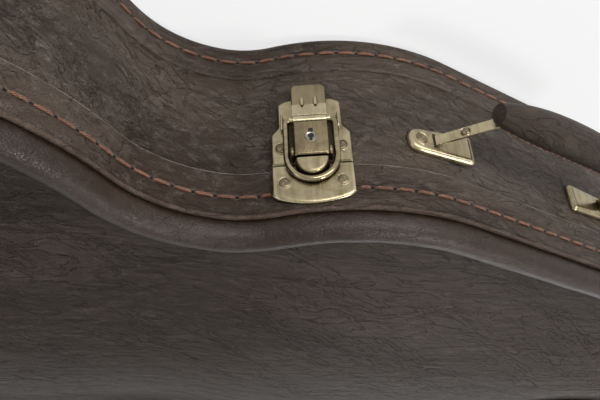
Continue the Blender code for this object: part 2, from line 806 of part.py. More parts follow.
def make_hinge(name, point, normal):
    turn = math.atan2(normal.x, -normal.y)
    place = point + Vector((0.0, 0.0, PARTING_HEIGHT))
    frame = Matrix.Translation(place) @ Matrix.Rotation(turn, 4, "Z")
    half = HINGE_WIDTH / 2
    third = HINGE_WIDTH / 6
    bore = circle(HINGE_PIN_RADIUS + RUNNING_GAP, 8, (HINGE_OUT, 0.0))
    bore_tool = prism(name + "_bore", bore, -HINGE_WIDTH, HINGE_WIDTH, ANTIQUE_BRASS, frame)
    spans = {
        "bottom": ((-half, -third - RUNNING_GAP), (third + RUNNING_GAP, half)),
        "lid": ((-third, third),),
    }
    for label, out, sign in (("bottom", TOUCH_GAP, -1), ("lid", CATCH_OUT, 1)):
        near = KNUCKLE_RADIUS * 1.1
        far = near + HINGE_LEAF_HEIGHT
        low, high = sorted((sign * near, sign * far))
        leaf = box(
            f"{name}_{label}_leaf",
            (-half, out, low),
            (half, out + METAL, high),
            ANTIQUE_BRASS,
            frame,
        )
        arm = [
            (out, sign * near * 1.3),
            (out + METAL, sign * near * 1.3),
            (HINGE_OUT, sign * KNUCKLE_RADIUS),
        ]
        arm += [
            (HINGE_OUT + KNUCKLE_RADIUS * math.sin(a), sign * KNUCKLE_RADIUS * math.cos(a))
            for a in (math.pi * k / 4 for k in range(1, 5))
        ]
        inner = HINGE_OUT - KNUCKLE_RADIUS
        arm += [(inner, 0.0), (max(out, inner), sign * near * 0.7)]
        for i, (start, stop) in enumerate(spans[label]):
            knuckle_name = f"{name}_{label}_knuckle_{i}"
            barrel = prism(knuckle_name, arm, start, stop, ANTIQUE_BRASS, frame)
            boolean(leaf, barrel, "UNION")
        boolean(leaf, bore_tool, "DIFFERENCE")
        rivet_up = sign * (near + LEAF_RIVET_RISE)
        places = [(-LEAF_RIVET_SIDE, rivet_up), (LEAF_RIVET_SIDE, rivet_up)]
        rivets(leaf, places, out + METAL, frame)
    prism(
        name + "_pin",
        circle(HINGE_PIN_RADIUS, 8, (HINGE_OUT, 0.0)),
        -half,
        half,
        ANTIQUE_BRASS,
        frame,
        origin=(HINGE_OUT, 0.0),
        smooth=True,
    )
    return frame


# Inside the case

def make_inside():
    floor = WALL + TOUCH_GAP + FLOOR_PADDING + TOUCH_GAP
    side_gap = WALL + LINING + 3 * TOUCH_GAP
    box_head = BOX_FROM_HEAD - HALF_LENGTH
    box_tail = box_head + BOX_LENGTH
    half_box = half_width((box_head + box_tail) / 2, side_gap)
    top = floor + BOX_HEIGHT

    outer = [(box_head, -half_box), (box_tail, -half_box), (box_tail, half_box), (box_head, half_box)]
    inner = [
        (box_head + BOX_WALL, BOX_WALL - half_box),
        (box_tail - BOX_WALL, BOX_WALL - half_box),
        (box_tail - BOX_WALL, half_box - BOX_WALL),
        (box_head + BOX_WALL, half_box - BOX_WALL),
    ]
    rings = [
        [(x, y, floor) for x, y in outer],
        [(x, y, top) for x, y in outer],
        [(x, y, top) for x, y in inner],
        [(x, y, floor + BOX_WALL) for x, y in inner],
    ]
    loft("accessory_box", rings, PLUSH)

    hinge_height = top + RUNNING_GAP + BOX_LID / 2
    flap = [
        [(x - box_head, y, z) for x, y in outer]
        for z in (-BOX_LID / 2, BOX_LID / 2)
    ]
    lid = loft("accessory_lid", flap, PLUSH)
    lid.location = (box_head, 0.0, hinge_height)

    tail_edge = BOX_LENGTH
    tab_rise = BOX_LID / 2 + TOUCH_GAP
    tab = [
        (tail_edge - TAB_WIDTH, tab_rise),
        (tail_edge - TAB_WIDTH * 0.5, tab_rise + METAL),
        (tail_edge + TAB_WIDTH * 0.1, tab_rise + METAL),
        (tail_edge + TAB_WIDTH * 0.1, tab_rise),
    ]
    rings = [[(x, y, z) for x, z in tab] for y in (-TAB_WIDTH / 2, TAB_WIDTH / 2)]
    pull = loft("pull_tab", rings, GRIP_LEATHER)
    pull.location = lid.location

    def cradle(name, x, height, depth):
        ends = (x - CRADLE_LENGTH / 2, x + CRADLE_LENGTH / 2)
        wide = min(half_width(end, side_gap) for end in ends) - CRADLE_SIDE_GAP
        shape = [(-wide, floor), (wide, floor), (wide, height)]
        for i in range(7):
            turn = math.pi * i / 6
            fall = depth * math.sin(turn) ** NOTCH_SQUARENESS
            shape.append((NECK_WIDTH / 2 * math.cos(turn), height - fall))
        shape.append((-wide, height))
        loft(name, [[(end, y, z) for y, z in shape] for end in ends], PLUSH)

    beside = CRADLE_LENGTH / 2 + CRADLE_GAP
    low_cradle = CRADLE_HEIGHT * HEAD_CRADLE_SHARE
    cradle("neck_cradle", box_tail + beside, floor + CRADLE_HEIGHT, NECK_NOTCH_DEPTH)
    cradle("head_cradle", box_head - beside, floor + low_cradle, HEAD_NOTCH_DEPTH)


LATCHES = (
    ("tail_latch", LOWER_X + TAIL_LATCH_FROM_LOWER_BOUT, False),
    ("waist_latch", WAIST_X - LATCH_FROM_WAIST, True),
    ("neck_latch", NECK_X - NECK_LENGTH * NECK_LATCH_SHARE, False),
    ("head_latch", NECK_X - NECK_LENGTH * HEAD_LATCH_SHARE, False),
)

make_bottom()
make_lid()
for latch_name, latch_x, has_lock in LATCHES:
    make_latch(latch_name, latch_x, has_lock)
make_handle()
hinge_normal, lower_touch, upper_touch = hinge_line()
make_hinge("lower_hinge", lower_touch, hinge_normal)
make_hinge("upper_hinge", upper_touch, hinge_normal)
make_inside()
bpy.context.view_layer.update()
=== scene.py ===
"""Looks for the archtop guitar case: leatherette shells, stitched bands, brass hardware, plush lining."""

from math import asin, atan, atan2, copysign, cos, hypot, pi, radians, sin, tan

import bmesh
import bpy
from mathutils import Matrix, Vector, noise


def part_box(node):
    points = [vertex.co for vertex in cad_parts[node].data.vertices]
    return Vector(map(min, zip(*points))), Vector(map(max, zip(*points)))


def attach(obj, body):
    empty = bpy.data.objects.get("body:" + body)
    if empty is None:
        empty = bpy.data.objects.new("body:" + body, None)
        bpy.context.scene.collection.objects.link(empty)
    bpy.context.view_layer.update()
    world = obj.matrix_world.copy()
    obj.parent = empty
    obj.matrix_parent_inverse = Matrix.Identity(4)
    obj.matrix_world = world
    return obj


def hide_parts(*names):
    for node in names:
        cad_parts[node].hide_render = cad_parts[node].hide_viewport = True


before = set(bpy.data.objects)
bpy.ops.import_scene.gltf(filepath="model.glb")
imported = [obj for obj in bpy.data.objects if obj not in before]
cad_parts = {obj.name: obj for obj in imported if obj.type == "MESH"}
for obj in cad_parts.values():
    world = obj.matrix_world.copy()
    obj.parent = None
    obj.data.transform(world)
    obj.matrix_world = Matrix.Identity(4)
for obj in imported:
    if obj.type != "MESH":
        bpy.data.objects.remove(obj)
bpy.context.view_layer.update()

# Outline, in metres: the same tangent arcs as the solids, in finer steps

QUARTER = pi / 2
LOWER_HALF_WIDTH = 0.234
TAIL_CORNER_RADIUS = 0.125
TAIL_CORNER_TURN = radians(50)
TAIL_END_RADIUS = (
    LOWER_HALF_WIDTH - TAIL_CORNER_RADIUS * (1 - cos(TAIL_CORNER_TURN))
) / cos(TAIL_CORNER_TURN)
LOWER_BOUT_RADIUS = 0.190
LOWER_BOUT_TURN = radians(46)
WAIST_RADIUS_LOWER = 0.082
WAIST_RADIUS_UPPER = 0.056
UPPER_BOUT_RADIUS = 0.137
UPPER_BOUT_TURN = radians(31.5)
TAPER_TURN = radians(16)
TAPER_LENGTH = 0.140
SHOULDER_RADIUS = 0.090
SHOULDER_TURN = radians(49)
NECK_LENGTH = 0.261
HEAD_CORNER_RADIUS = 0.070
TAIL_SEGMENTS = (
    ("convex", TAIL_CORNER_RADIUS, 0.0, TAIL_CORNER_TURN, 5),
    ("convex", TAIL_END_RADIUS, TAIL_CORNER_TURN, QUARTER, 4),
)
HEAD_SEGMENTS = (
    ("convex", LOWER_BOUT_RADIUS, 0.0, LOWER_BOUT_TURN, 5),
    ("concave", WAIST_RADIUS_LOWER, LOWER_BOUT_TURN, 0.0, 4),
    ("concave", WAIST_RADIUS_UPPER, 0.0, -UPPER_BOUT_TURN, 3),
    ("convex", UPPER_BOUT_RADIUS, -UPPER_BOUT_TURN, 0.0, 4),
    ("convex", UPPER_BOUT_RADIUS, 0.0, TAPER_TURN, 2),
    ("line", TAPER_LENGTH, TAPER_TURN, TAPER_TURN, 2),
    ("convex", SHOULDER_RADIUS, TAPER_TURN, SHOULDER_TURN, 2),
    ("concave", SHOULDER_RADIUS, SHOULDER_TURN, 0.0, 3),
    ("line", NECK_LENGTH, 0.0, 0.0, 4),
    ("convex", HEAD_CORNER_RADIUS, 0.0, QUARTER, 6),
)
FINE = 5
SPINE_HEAD_END = 0.087

# Heights and walls

PARTING = 0.098
WALL = 0.005
CLEAR = 0.0003
LID_LOW = PARTING + 2 * CLEAR
EDGE_ROUND = 0.005
ROLL_SEAT = 0.128
ROLL_DIAMETER = 0.015
ARCH_HEIGHT = 0.024
ARCH_FOOT = ROLL_SEAT + 0.72 * ROLL_DIAMETER
ARCH_INSET = 0.85 * ROLL_DIAMETER
BACK_BAND_LOW = 0.005
BACK_BAND_HEIGHT = 0.0235
LID_BAND_HEIGHT = 0.0265
BEAD_RADIUS = 0.0016

# Stitching, latches, handle and hinges

BACK_BAND_STITCH = 0.0157
LID_BAND_STITCH = 0.1145
STITCH_PITCH = 0.0122
STITCH_GAP = 0.0018
STITCH_OUT = 0.0017
PLY_RADIUS = 0.00041
PLY_OFFSET = 0.00056
PLY_TURNS = 2.3
LATCH_HALF_WIDTH = 0.02225
LATCH_COVER = 0.0228
HINGE_COVER = 0.0226
LEVER_HALF_WIDTH = 0.0095
TAB_HALF_WIDTH = 0.0100
LOOP_HALF_WIDTH = 0.0138
LOOP_END_ROUND = 0.0148
LOOP_WIRE = 0.0018
LOOP_PIVOT_OUT = 0.0062
LOOP_PIVOT_DROP = 0.0270
LOOP_SEAT_OUT = 0.0064
LOOP_SEAT_RISE = 0.0125
HANDLE_FROM_WAIST = 0.1185
HANDLE_SPAN = 0.140
HANDLE_HEIGHT = 0.078
PLATE_FLATTEN = 0.82
STRAP_ANGLE = radians(52)
STRAP_HALF_WIDTH = 0.0033
STRAP_HALF_THICKNESS = 0.0009
STRAP_ELBOW = 0.0096
GRIP_HALF_LENGTH = 0.05825
GRIP_HALF_DEPTH = 0.009
GRIP_HALF_WIDTH = 0.012
GRIP_BOW = 0.0040
HINGE_HALF_WIDTH = 0.022
KNUCKLE_RADIUS = 0.0026
LEAF_THICKNESS = 0.0009
LEAF_NEAR = 0.0029
LEAF_FAR = 0.0229

# Inside

LINING_OUT = WALL + CLEAR
LINING_PAD = 0.012
LINING_FLOOR = LINING_OUT + 0.008
LID_PAD = 0.006
PIPING_RADIUS = 0.0009
BOX_WALL = 0.005
CRADLE_ROUND = 0.004
NOTCH_HALF_WIDTH = 0.030
NOTCH_LIP = 0.038


def walk(start, segments, inset, side, fine=FINE):
    x, y = start
    points = [(x, y)]
    for kind, size, begin, end, steps in segments:
        steps *= fine
        for i in range(steps):
            first = begin + (end - begin) * i / steps
            last = begin + (end - begin) * (i + 1) / steps
            if kind == "line":
                x += side * size / steps * cos(begin)
                y -= size / steps * sin(begin)
            else:
                bend = size - inset if kind == "convex" else -(size + inset)
                x += side * bend * (sin(last) - sin(first))
                y -= bend * (cos(first) - cos(last))
            points.append((x, y))
    return points


def reach(segments, side):
    return walk((0.0, 0.0), segments, 0.0, side, 1)[-1][0]


TAIL_REACH = reach(TAIL_SEGMENTS, 1)
HEAD_REACH = reach(HEAD_SEGMENTS, -1)
LOWER_X = -(TAIL_REACH + HEAD_REACH) / 2
HALF_LENGTH = LOWER_X + TAIL_REACH
WAIST_X = LOWER_X + reach(HEAD_SEGMENTS[:2], -1)
UPPER_X = LOWER_X + reach(HEAD_SEGMENTS[:4], -1)
NECK_X = LOWER_X + reach(HEAD_SEGMENTS[:8], -1)
WAIST_HALF_WIDTH = LOWER_HALF_WIDTH - (LOWER_BOUT_RADIUS + WAIST_RADIUS_LOWER) * (1 - cos(LOWER_BOUT_TURN))
UPPER_HALF_WIDTH = WAIST_HALF_WIDTH + (WAIST_RADIUS_UPPER + UPPER_BOUT_RADIUS) * (1 - cos(UPPER_BOUT_TURN))


def half_outline(inset, fine=FINE):
    """The +Y half of the outline from the tail's middle to the head's, moved in by the inset."""
    start = (LOWER_X, LOWER_HALF_WIDTH - inset)
    tail = walk(start, TAIL_SEGMENTS, inset, 1, fine)
    head = walk(start, HEAD_SEGMENTS, inset, -1, fine)
    tail[-1] = (tail[-1][0], 0.0)
    return tail[::-1] + head[1:] + [(head[-1][0], 0.0)]


def outline(inset, fine=FINE):
    half = half_outline(inset, fine)
    return half + [(x, -y) for x, y in half[-2:0:-1]]


def ring(inset, height):
    return [(x, y, height) for x, y in outline(inset)]


FINE_HALF = half_outline(0.0)
COARSE_HALF = half_outline(0.0, 1)


def half_width(x, half):
    """Half the case's width at this place along it, read off a half outline."""
    for (x1, y1), (x2, y2) in zip(half, half[1:]):
        if x2 <= x <= x1 and x1 > x2:
            return y1 + (y2 - y1) * (x1 - x) / (x1 - x2)
    return 0.0


def arch_ring(inset, foot, share):
    """A ring of the arched panel: share 0 is its foot and share 1 is its crest."""
    points = []
    for x, y in outline(inset):
        middle = min(max(x, SPINE_HEAD_END - HALF_LENGTH), HALF_LENGTH - TAIL_END_RADIUS / 2)
        local = 0.35 + 0.65 * half_width(middle, FINE_HALF) / LOWER_HALF_WIDTH
        rise = ARCH_HEIGHT * local * sin(share * QUARTER) ** 2
        points.append((x + (middle - x) * share, y * (1 - share), foot + rise))
    return points


EDGE = outline(0.0)
ARC = [0.0]
for here, there in zip(EDGE, EDGE[1:] + EDGE[:1]):
    ARC.append(ARC[-1] + hypot(there[0] - here[0], there[1] - here[1]))
AROUND = ARC[-1]
PITCH = AROUND / round(AROUND / STITCH_PITCH)


def edge_place(distance):
    """Point on the outline and its outward normal, this far round it from the tail."""
    distance %= AROUND
    low, high = 0, len(ARC) - 1
    while high - low > 1:
        middle = (low + high) // 2
        if ARC[middle] <= distance:
            low = middle
        else:
            high = middle
    a = Vector(EDGE[low % len(EDGE)])
    b = Vector(EDGE[(low + 1) % len(EDGE)])
    share = (distance - ARC[low]) / max(ARC[low + 1] - ARC[low], 1e-9)
    before = Vector(EDGE[low - 1])
    after = Vector(EDGE[(low + 2) % len(EDGE)])
    tangent = ((b - before) * (1 - share) + (after - a) * share).normalized()
    return a + (b - a) * share, Vector((tangent.y, -tangent.x, 0.0))


def distance_at(x, side):
    """How far round the outline from the tail a place on one long side lies."""
    best = min(range(len(EDGE)), key=lambda i: abs(EDGE[i][0] - x) + (0 if EDGE[i][1] * side > 0 else 9))
    return ARC[best]


def wall_frame(x, height):
    """The frame on the latch side's wall that the solids use: X along the wall, -Y out and Z up."""
    step = 0.002
    slope = (half_width(x + step, COARSE_HALF) - half_width(x - step, COARSE_HALF)) / (2 * step)
    place = Matrix.Translation((x, -half_width(x, COARSE_HALF), height))
    return place @ Matrix.Rotation(-atan(slope), 4, "Z")


# Materials

EVEN = (1.0, 1.0, 1.0)
NO_SLANT = (0.0, 0.0, 0.0)


def srgb(text):
    values = [int(text[i:i + 2], 16) / 255 for i in (0, 2, 4)]
    return (*(v / 12.92 if v <= 0.04045 else ((v + 0.055) / 1.055) ** 2.4 for v in values), 1.0)


class Nodes:
    """Short ways to add nodes to a shader tree. A socket takes a value, an sRGB code or another socket."""

    def __init__(self, tree):
        self.tree = tree

    def feed(self, socket, value):
        if isinstance(value, bpy.types.NodeSocket):
            self.tree.links.new(value, socket)
        else:
            socket.default_value = srgb(value) if isinstance(value, str) else value

    def add(self, kind, sockets=None, **values):
        node = self.tree.nodes.new(kind)
        for key, value in values.items():
            setattr(node, key, value)
        for key, value in (sockets or {}).items():
            self.feed(node.inputs[key], value)
        return node

    def span(self, value, low, high, to_low=0.0, to_high=1.0):
        sockets = {"From Min": low, "From Max": high, "To Min": to_low, "To Max": to_high, "Value": value}
        return self.add("ShaderNodeMapRange", sockets).outputs["Result"]

    def math(self, operation, a, b=0.0):
        return self.add("ShaderNodeMath", {0: a, 1: b}, operation=operation).outputs[0]

    def mix(self, factor, a, b):
        return self.add("ShaderNodeMix", {0: factor, 6: a, 7: b}, data_type="RGBA").outputs[2]

    def seen_rays(self):
        """1 for camera, glossy and transmission rays, and 0 for the rays that light the object."""
        paths = self.add("ShaderNodeLightPath").outputs
        seen = self.math("MAXIMUM", paths["Is Camera Ray"], paths["Is Glossy Ray"])
        return self.math("MAXIMUM", seen, paths["Is Transmission Ray"])


class Surface(Nodes):
    """A new Principled material."""

    def __init__(self, name, roughness=0.5, metallic=0.0):
        self.made = bpy.data.materials.new(name)
        self.made.use_nodes = True
        super().__init__(self.made.node_tree)
        self.shader = self.tree.nodes["Principled BSDF"]
        self.shader.inputs["Roughness"].default_value = roughness
        self.shader.inputs["Metallic"].default_value = metallic
        self.height = None

    def object_space(self, scale=EVEN, slant=NO_SLANT):
        coords = self.add("ShaderNodeTexCoord").outputs["Object"]
        sockets = {"Scale": tuple(1 / v for v in scale), "Rotation": slant, "Vector": coords}
        return self.add("ShaderNodeMapping", sockets, vector_type="TEXTURE").outputs["Vector"]

    def noise(self, scale, detail=3.0, stretch=EVEN, rough=0.55, distortion=0.0, slant=NO_SLANT):
        return self.add("ShaderNodeTexNoise", {
            "Scale": scale, "Detail": detail, "Roughness": rough, "Distortion": distortion,
            "Vector": self.object_space(stretch, slant),
        }).outputs["Fac"]

    def wrinkles(self, scale, stretch, width, slant=NO_SLANT):
        """Long thin folds: 0 in a fold and 1 away from it, in loose patches."""
        wave = self.noise(scale, 2.5, stretch, 0.5, 0.8, slant)
        line = self.span(self.math("ABSOLUTE", self.math("SUBTRACT", wave, 0.5)), 0.0, width, 0.0, 1.0)
        patch = self.span(self.noise(scale * 0.4, 2.0, stretch, 0.5, 0.0, slant), 0.40, 0.58)
        return self.math("SUBTRACT", 1.0, self.math("MULTIPLY", patch, self.math("SUBTRACT", 1.0, line)))

    def cells(self, scale):
        """Distance to the nearest border of small uneven cells."""
        space = self.object_space()
        warp = self.add("ShaderNodeTexNoise", {"Scale": scale * 0.8, "Vector": space}).outputs["Color"]
        warped = self.add(
            "ShaderNodeVectorMath", {0: warp, 1: (0.6 / scale,) * 3, 2: space}, operation="MULTIPLY_ADD"
        ).outputs[0]
        sockets = {"Scale": scale, "Vector": warped}
        return self.add("ShaderNodeTexVoronoi", sockets, feature="DISTANCE_TO_EDGE").outputs["Distance"]

    def shelter(self, distance):
        """1 in the open and 0 in corners and under edges."""
        return self.add("ShaderNodeAmbientOcclusion", {"Distance": distance}).outputs["AO"]

    def along_and_up(self):
        """The two UV values, in metres along a band and up it."""
        uv = self.add("ShaderNodeUVMap").outputs["UV"]
        return self.add("ShaderNodeSeparateXYZ", {0: uv}).outputs[:2]

    def color(self, value):
        self.feed(self.shader.inputs["Base Color"], value)

    def rough(self, value):
        self.feed(self.shader.inputs["Roughness"], value)

    def bump(self, value, depth):
        node = self.add("ShaderNodeBump", {"Distance": depth, "Strength": 1.0, "Height": value})
        if self.height is not None:
            self.feed(node.inputs["Normal"], self.height)
        self.height = node.outputs["Normal"]
        self.feed(self.shader.inputs["Normal"], self.height)


def leather(name, dark, base, light, grain, folds, sheen=0.2, run=(0.4, 1.0, 1.6), slant=NO_SLANT,
            gloss=(0.36, 0.60), crease=0.0022, pores=0.00022):
    """Creased leather: fine cells, short creases and long thin folds, with a painted highlight on its high
    places and painted shade in its folds and along its cell borders.
    """
    n = Surface(name)
    n.shader.inputs["Specular IOR Level"].default_value = sheen
    # low is the dark colour made darker still: the painted shade for the folds and the cell borders.
    low = (*(v * 0.55 for v in srgb(dark)[:3]), 1.0)
    fine = n.cells(grain)
    creases = n.noise(150.0, 6.0, tuple(v ** 0.6 for v in run), 0.68, 0.7)
    soft = n.noise(24.0, 4.0, run, 0.55, 1.2)
    folded = n.math("MINIMUM", n.wrinkles(58.0, run, 0.022), n.wrinkles(84.0, run, 0.030, slant))
    cloud = n.noise(11.0, 4.0, run, 0.6)
    pits = n.noise(900.0, 2.0)
    tone = n.mix(n.span(cloud, 0.40, 0.60), dark, base)
    # Painted highlight: paler where the crease noise is high, where its bump below raises the surface.
    high = n.math("MULTIPLY", n.span(creases, 0.47, 0.66), n.span(pits, 0.35, 0.7))
    tone = n.mix(n.math("MULTIPLY", high, 0.7), tone, light)
    # Painted shade in the long thin folds.
    tone = n.mix(n.span(folded, 0.0, 1.0, 0.40, 0.0), tone, low)
    # Painted shade along the borders of the fine cells, which the bump below sinks.
    n.color(n.mix(n.span(fine, 0.0, 0.10, 0.36, 0.0), tone, low))
    n.rough(n.span(n.math("ADD", pits, creases), 0.7, 1.3, *gloss))
    n.bump(soft, folds)
    n.bump(folded, crease * 0.4)
    n.bump(creases, crease)
    n.bump(n.span(fine, 0.0, 0.16), pores)
    n.bump(pits, pores)
    return n


def band_leather(name, stitch_height, highlit_edges):
    """Leather with needle holes in painted shade, a painted highlight on the pinch round them, painted
    shade in the channel they lie in, and painted highlights along its edges.
    """
    n = leather(name, "382B22", "4E4238", "80766E", 820.0, 0.0022)
    along, up = n.along_and_up()
    along = n.math("SUBTRACT", n.math("FRACT", n.math("DIVIDE", along, PITCH)), 0.5)
    along = n.math("MULTIPLY", along, PITCH)
    off_line = n.math("SUBTRACT", up, stitch_height)
    flattened = n.math("MULTIPLY", off_line, n.math("MULTIPLY", off_line, 2.5))
    away = n.math("SQRT", n.math("ADD", n.math("MULTIPLY", along, along), flattened))
    off_line = n.math("ABSOLUTE", off_line)
    shade = n.shader.inputs["Base Color"].links[0].from_socket
    # Painted shade in the stitch channel, which the bump below sinks.
    shade = n.mix(n.span(off_line, 0.0004, 0.0022, 0.35, 0.0), shade, "2A2019")
    # Painted highlight on the pinch round each needle hole.
    shade = n.mix(n.span(away, 0.0019, 0.0042, 0.45, 0.0), shade, "776C62")
    # Painted highlights: thin paler lines along the band's edges, where they catch the light, broken into
    # patches.
    for edge, reach_in, highlight_strength, tint in highlit_edges:
        near = n.math("ABSOLUTE", n.math("SUBTRACT", up, edge))
        patches = n.span(n.noise(110.0, 3.0), 0.30, 0.55, 0.35, 1.0)
        edge_highlight = n.math("MULTIPLY", n.span(near, 0.0, reach_in, highlight_strength, 0.0), patches)
        shade = n.mix(edge_highlight, shade, tint)
    # Painted shade: the needle holes, near-black.
    n.color(n.mix(n.span(away, 0.0009, 0.0019, 1.0, 0.0), shade, "0E0A08"))
    n.bump(n.span(away, 0.0004, 0.0042), 0.0014)
    n.bump(n.span(off_line, 0.0, 0.0028), 0.0005)
    return n.made


def thread():
    n = Surface("rust_thread", 0.62)
    n.shader.inputs["Sheen Weight"].default_value = 0.25
    fibres = n.noise(2200.0, 2.0, rough=0.7)
    patches = n.noise(60.0, 2.0)
    tone = n.mix(n.span(patches, 0.3, 0.7), "7C4A2E", "A8714E")
    tone = n.mix(n.span(fibres, 0.36, 0.56), "4A2A1A", tone)
    # Painted shade between the plies, from the occlusion.
    n.color(n.mix(n.span(n.shelter(0.0008), 0.35, 0.85, 0.85, 0.0), tone, "2E170C"))
    n.bump(fibres, 0.00025)
    return n.made


def brushed_metal(name, along, low, mid, high, gloss):
    """Old metal, brushed along one local axis, stained, darker in its low places as patina and painted
    shade, and paler on its edges as wear and painted highlight.
    """
    n = Surface(name, 0.3, 1.0)
    stretch = tuple(0.03 if axis == along else 1.0 for axis in range(3))
    brush = n.noise(2600.0, 2.0, stretch, 0.6)
    broad = n.noise(420.0, 2.0, stretch, 0.5)
    stain = n.noise(90.0, 4.0, rough=0.6, distortion=0.4)
    tone = n.mix(n.span(stain, 0.36, 0.66), low, mid)
    tone = n.mix(n.math("MULTIPLY", n.span(broad, 0.42, 0.66), 0.16), tone, high)
    # Paler on the edges, as wear and as a painted highlight.
    edge = n.add("ShaderNodeNewGeometry").outputs["Pointiness"]
    tone = n.mix(n.span(edge, 0.52, 0.62, 0.0, 0.5), tone, high)
    # Darker in low places and under edges, as patina and as painted shade.
    n.color(n.mix(n.span(n.shelter(0.0045), 0.15, 0.85, 0.90, 0.0), tone, "3B3022"))
    n.rough(n.span(n.math("ADD", brush, stain), 0.75, 1.25, *gloss))
    n.bump(brush, 0.000012)
    return n.made


def plain_dark(name, low, high):
    n = Surface(name, 0.8)
    n.color(n.mix(n.noise(400.0), low, high))
    return n.made


def plush(name, dark, base, light):
    n = Surface(name, 0.95)
    n.shader.inputs["Sheen Weight"].default_value = 0.6
    n.shader.inputs["Sheen Roughness"].default_value = 0.4
    n.shader.inputs["Sheen Tint"].default_value = srgb(light)
    pile = n.noise(1500.0, 3.0, rough=0.7)
    brushed = n.noise(18.0, 4.0, (1.0, 0.5, 1.0), 0.6, 1.6)
    tone = n.mix(n.span(brushed, 0.35, 0.65), dark, base)
    n.color(n.mix(n.math("MULTIPLY", n.span(pile, 0.45, 0.7), 0.5), tone, light))
    n.bump(brushed, 0.0008)
    n.bump(pile, 0.0006)
    return n.made


ALONG_X, ALONG_Z = 0, 2
LEATHERETTE = leather(
    "brown_leatherette", "3B2F26", "594D43", "8A8078", 720.0, 0.0050,
    slant=(0.0, radians(34), 0.0), crease=0.0042,
).made
# A darker copy of the same leatherette for the lid's arched panel: painted shade.
PANEL_LEATHER_PAINTED_SHADE = leather(
    "brown_panel_leatherette_painted_shade", "2C2119", "453A31", "6E645B", 720.0, 0.0060, sheen=0.13,
    run=(0.4, 1.7, 1.0), slant=(0.0, 0.0, radians(-32)), gloss=(0.44, 0.62), crease=0.0046,
).made
# A darker copy of the same leatherette for the shoulder roll: painted shade.
ROLL_LEATHER_PAINTED_SHADE = leather(
    "brown_roll_leatherette_painted_shade", "261A12", "2E2118", "483C33", 640.0, 0.0004, sheen=0.30,
    run=(0.7, 0.9, 0.9), gloss=(0.27, 0.38), crease=0.0004, pores=0.00007,
).made
# Painted highlights on the back band's upper edge, and on the lid band's lower edge at the parting line and
# on its bead.
BACK_BAND_LEATHER = band_leather("back_band_leather", BACK_BAND_STITCH, [(0.0285, 0.0009, 0.35, "8A8078")])
LID_BAND_LEATHER = band_leather(
    "lid_band_leather", LID_BAND_STITCH, [(0.0991, 0.0010, 0.95, "A79E97"), (0.1278, 0.0013, 0.4, "735F52")]
)
GRIP_LEATHER = leather("grip_leather", "2A2018", "3C3027", "655A50", 900.0, 0.0005).made
THREAD = thread()
BRASS = brushed_metal("antique_brass_brushed", ALONG_Z, "82765B", "A6997B", "DCD0AC", (0.22, 0.36))
BRASS_WIRE = brushed_metal("antique_brass_wire", ALONG_X, "7A6E55", "9C9074", "DDD2B0", (0.14, 0.28))
# A darker copy of the brass for the finger tab, the pivot ears and pin and the rivet domes: painted shade.
BRASS_PAINTED_SHADE = brushed_metal("antique_brass_painted_shade", ALONG_Z, "665B48", "7D715B", "A99C7C", (0.28, 0.44))
# Near-black sheets for the keyhole, the lock's notch and the handle plates' slots: painted shade standing
# in for the holes.
HOLE_PAINTED_SHADE = plain_dark("dark_recess", "0C0A08", "18130F")
# A dark brown sheet on the latch base under the lever: painted shade between the lever and the loop.
LEVER_PAINTED_SHADE = plain_dark("lever_painted_shade_brown", "3B3222", "5A4E38")
BRASS_FACE = brushed_metal("antique_brass_face", ALONG_Z, "5F5140", "83745A", "B3A680", (0.2, 0.32))
LOCK_STEEL = brushed_metal("worn_lock_steel", ALONG_Z, "7C7970", "9F9C91", "C8C6BC", (0.2, 0.34))
PLUSH = plush("gold_plush", "7A5A22", "9C7A38", "C4A25C")
PLUSH_EDGE = plush("gold_plush_piping", "6A4B1C", "86662D", "B08E4C")


# Shapes in a plane

def mm(*points):
    """Points given in millimetres, in metres."""
    return [tuple(value * 0.001 for value in point) for point in points]


def above(base, *points):
    """Profile points given in millimetres: how far in, and how high above the base."""
    return [(inset, base + height) for inset, height in mm(*points)]


def around(count):
    return [2 * pi * k / count for k in range(count)]


def quarter(steps):
    return [QUARTER * k / steps for k in range(steps + 1)]


def arc(center, radius, begin, end, steps):
    return [
        (center[0] + radius * cos(begin + (end - begin) * i / steps),
         center[1] + radius * sin(begin + (end - begin) * i / steps))
        for i in range(steps + 1)
    ]


def rounded(corners, radius, steps=4):
    """A polygon with its corners rounded; a corner may carry its own radius as a third number."""
    result = []
    count = len(corners)
    for i, corner in enumerate(corners):
        own = corner[2] if len(corner) > 2 else radius
        here = Vector(corner[:2])
        before = Vector(corners[i - 1][:2]) - here
        after = Vector(corners[(i + 1) % count][:2]) - here
        if own <= 0:
            result.append(tuple(here))
            continue
        angle = before.angle(after)
        cut = min(own / max(tan(angle / 2), 1e-4), before.length * 0.49, after.length * 0.49)
        start = here + before.normalized() * cut
        end = here + after.normalized() * cut
        for k in range(steps + 1):
            t = k / steps
            result.append(tuple(start * (1 - t) ** 2 + here * 2 * t * (1 - t) + end * t ** 2))
    return result


def shrink(shape, amount):
    """The shape moved in by about this much."""
    if not amount:
        return shape
    following = shape[1:] + shape[:1]
    area = sum(a[0] * b[1] - b[0] * a[1] for a, b in zip(shape, following))
    sign = 1 if area > 0 else -1
    result = []
    for before, here, after in zip(shape[-1:] + shape[:-1], shape, following):
        here = Vector(here)
        first = (here - Vector(before)).normalized()
        last = (Vector(after) - here).normalized()
        normal = Vector((-(first.y + last.y), first.x + last.x))
        if normal.length < 1e-6:
            normal = Vector((-first.y, first.x))
        normal.normalize()
        scale = 1 / max(normal.dot(Vector((-first.y, first.x))), 0.5)
        result.append(tuple(here + normal * amount * sign * scale))
    return result


def box_corners(low, high):
    return [(low[0], low[1]), (high[0], low[1]), (high[0], high[1]), (low[0], high[1])]


# Mesh helpers

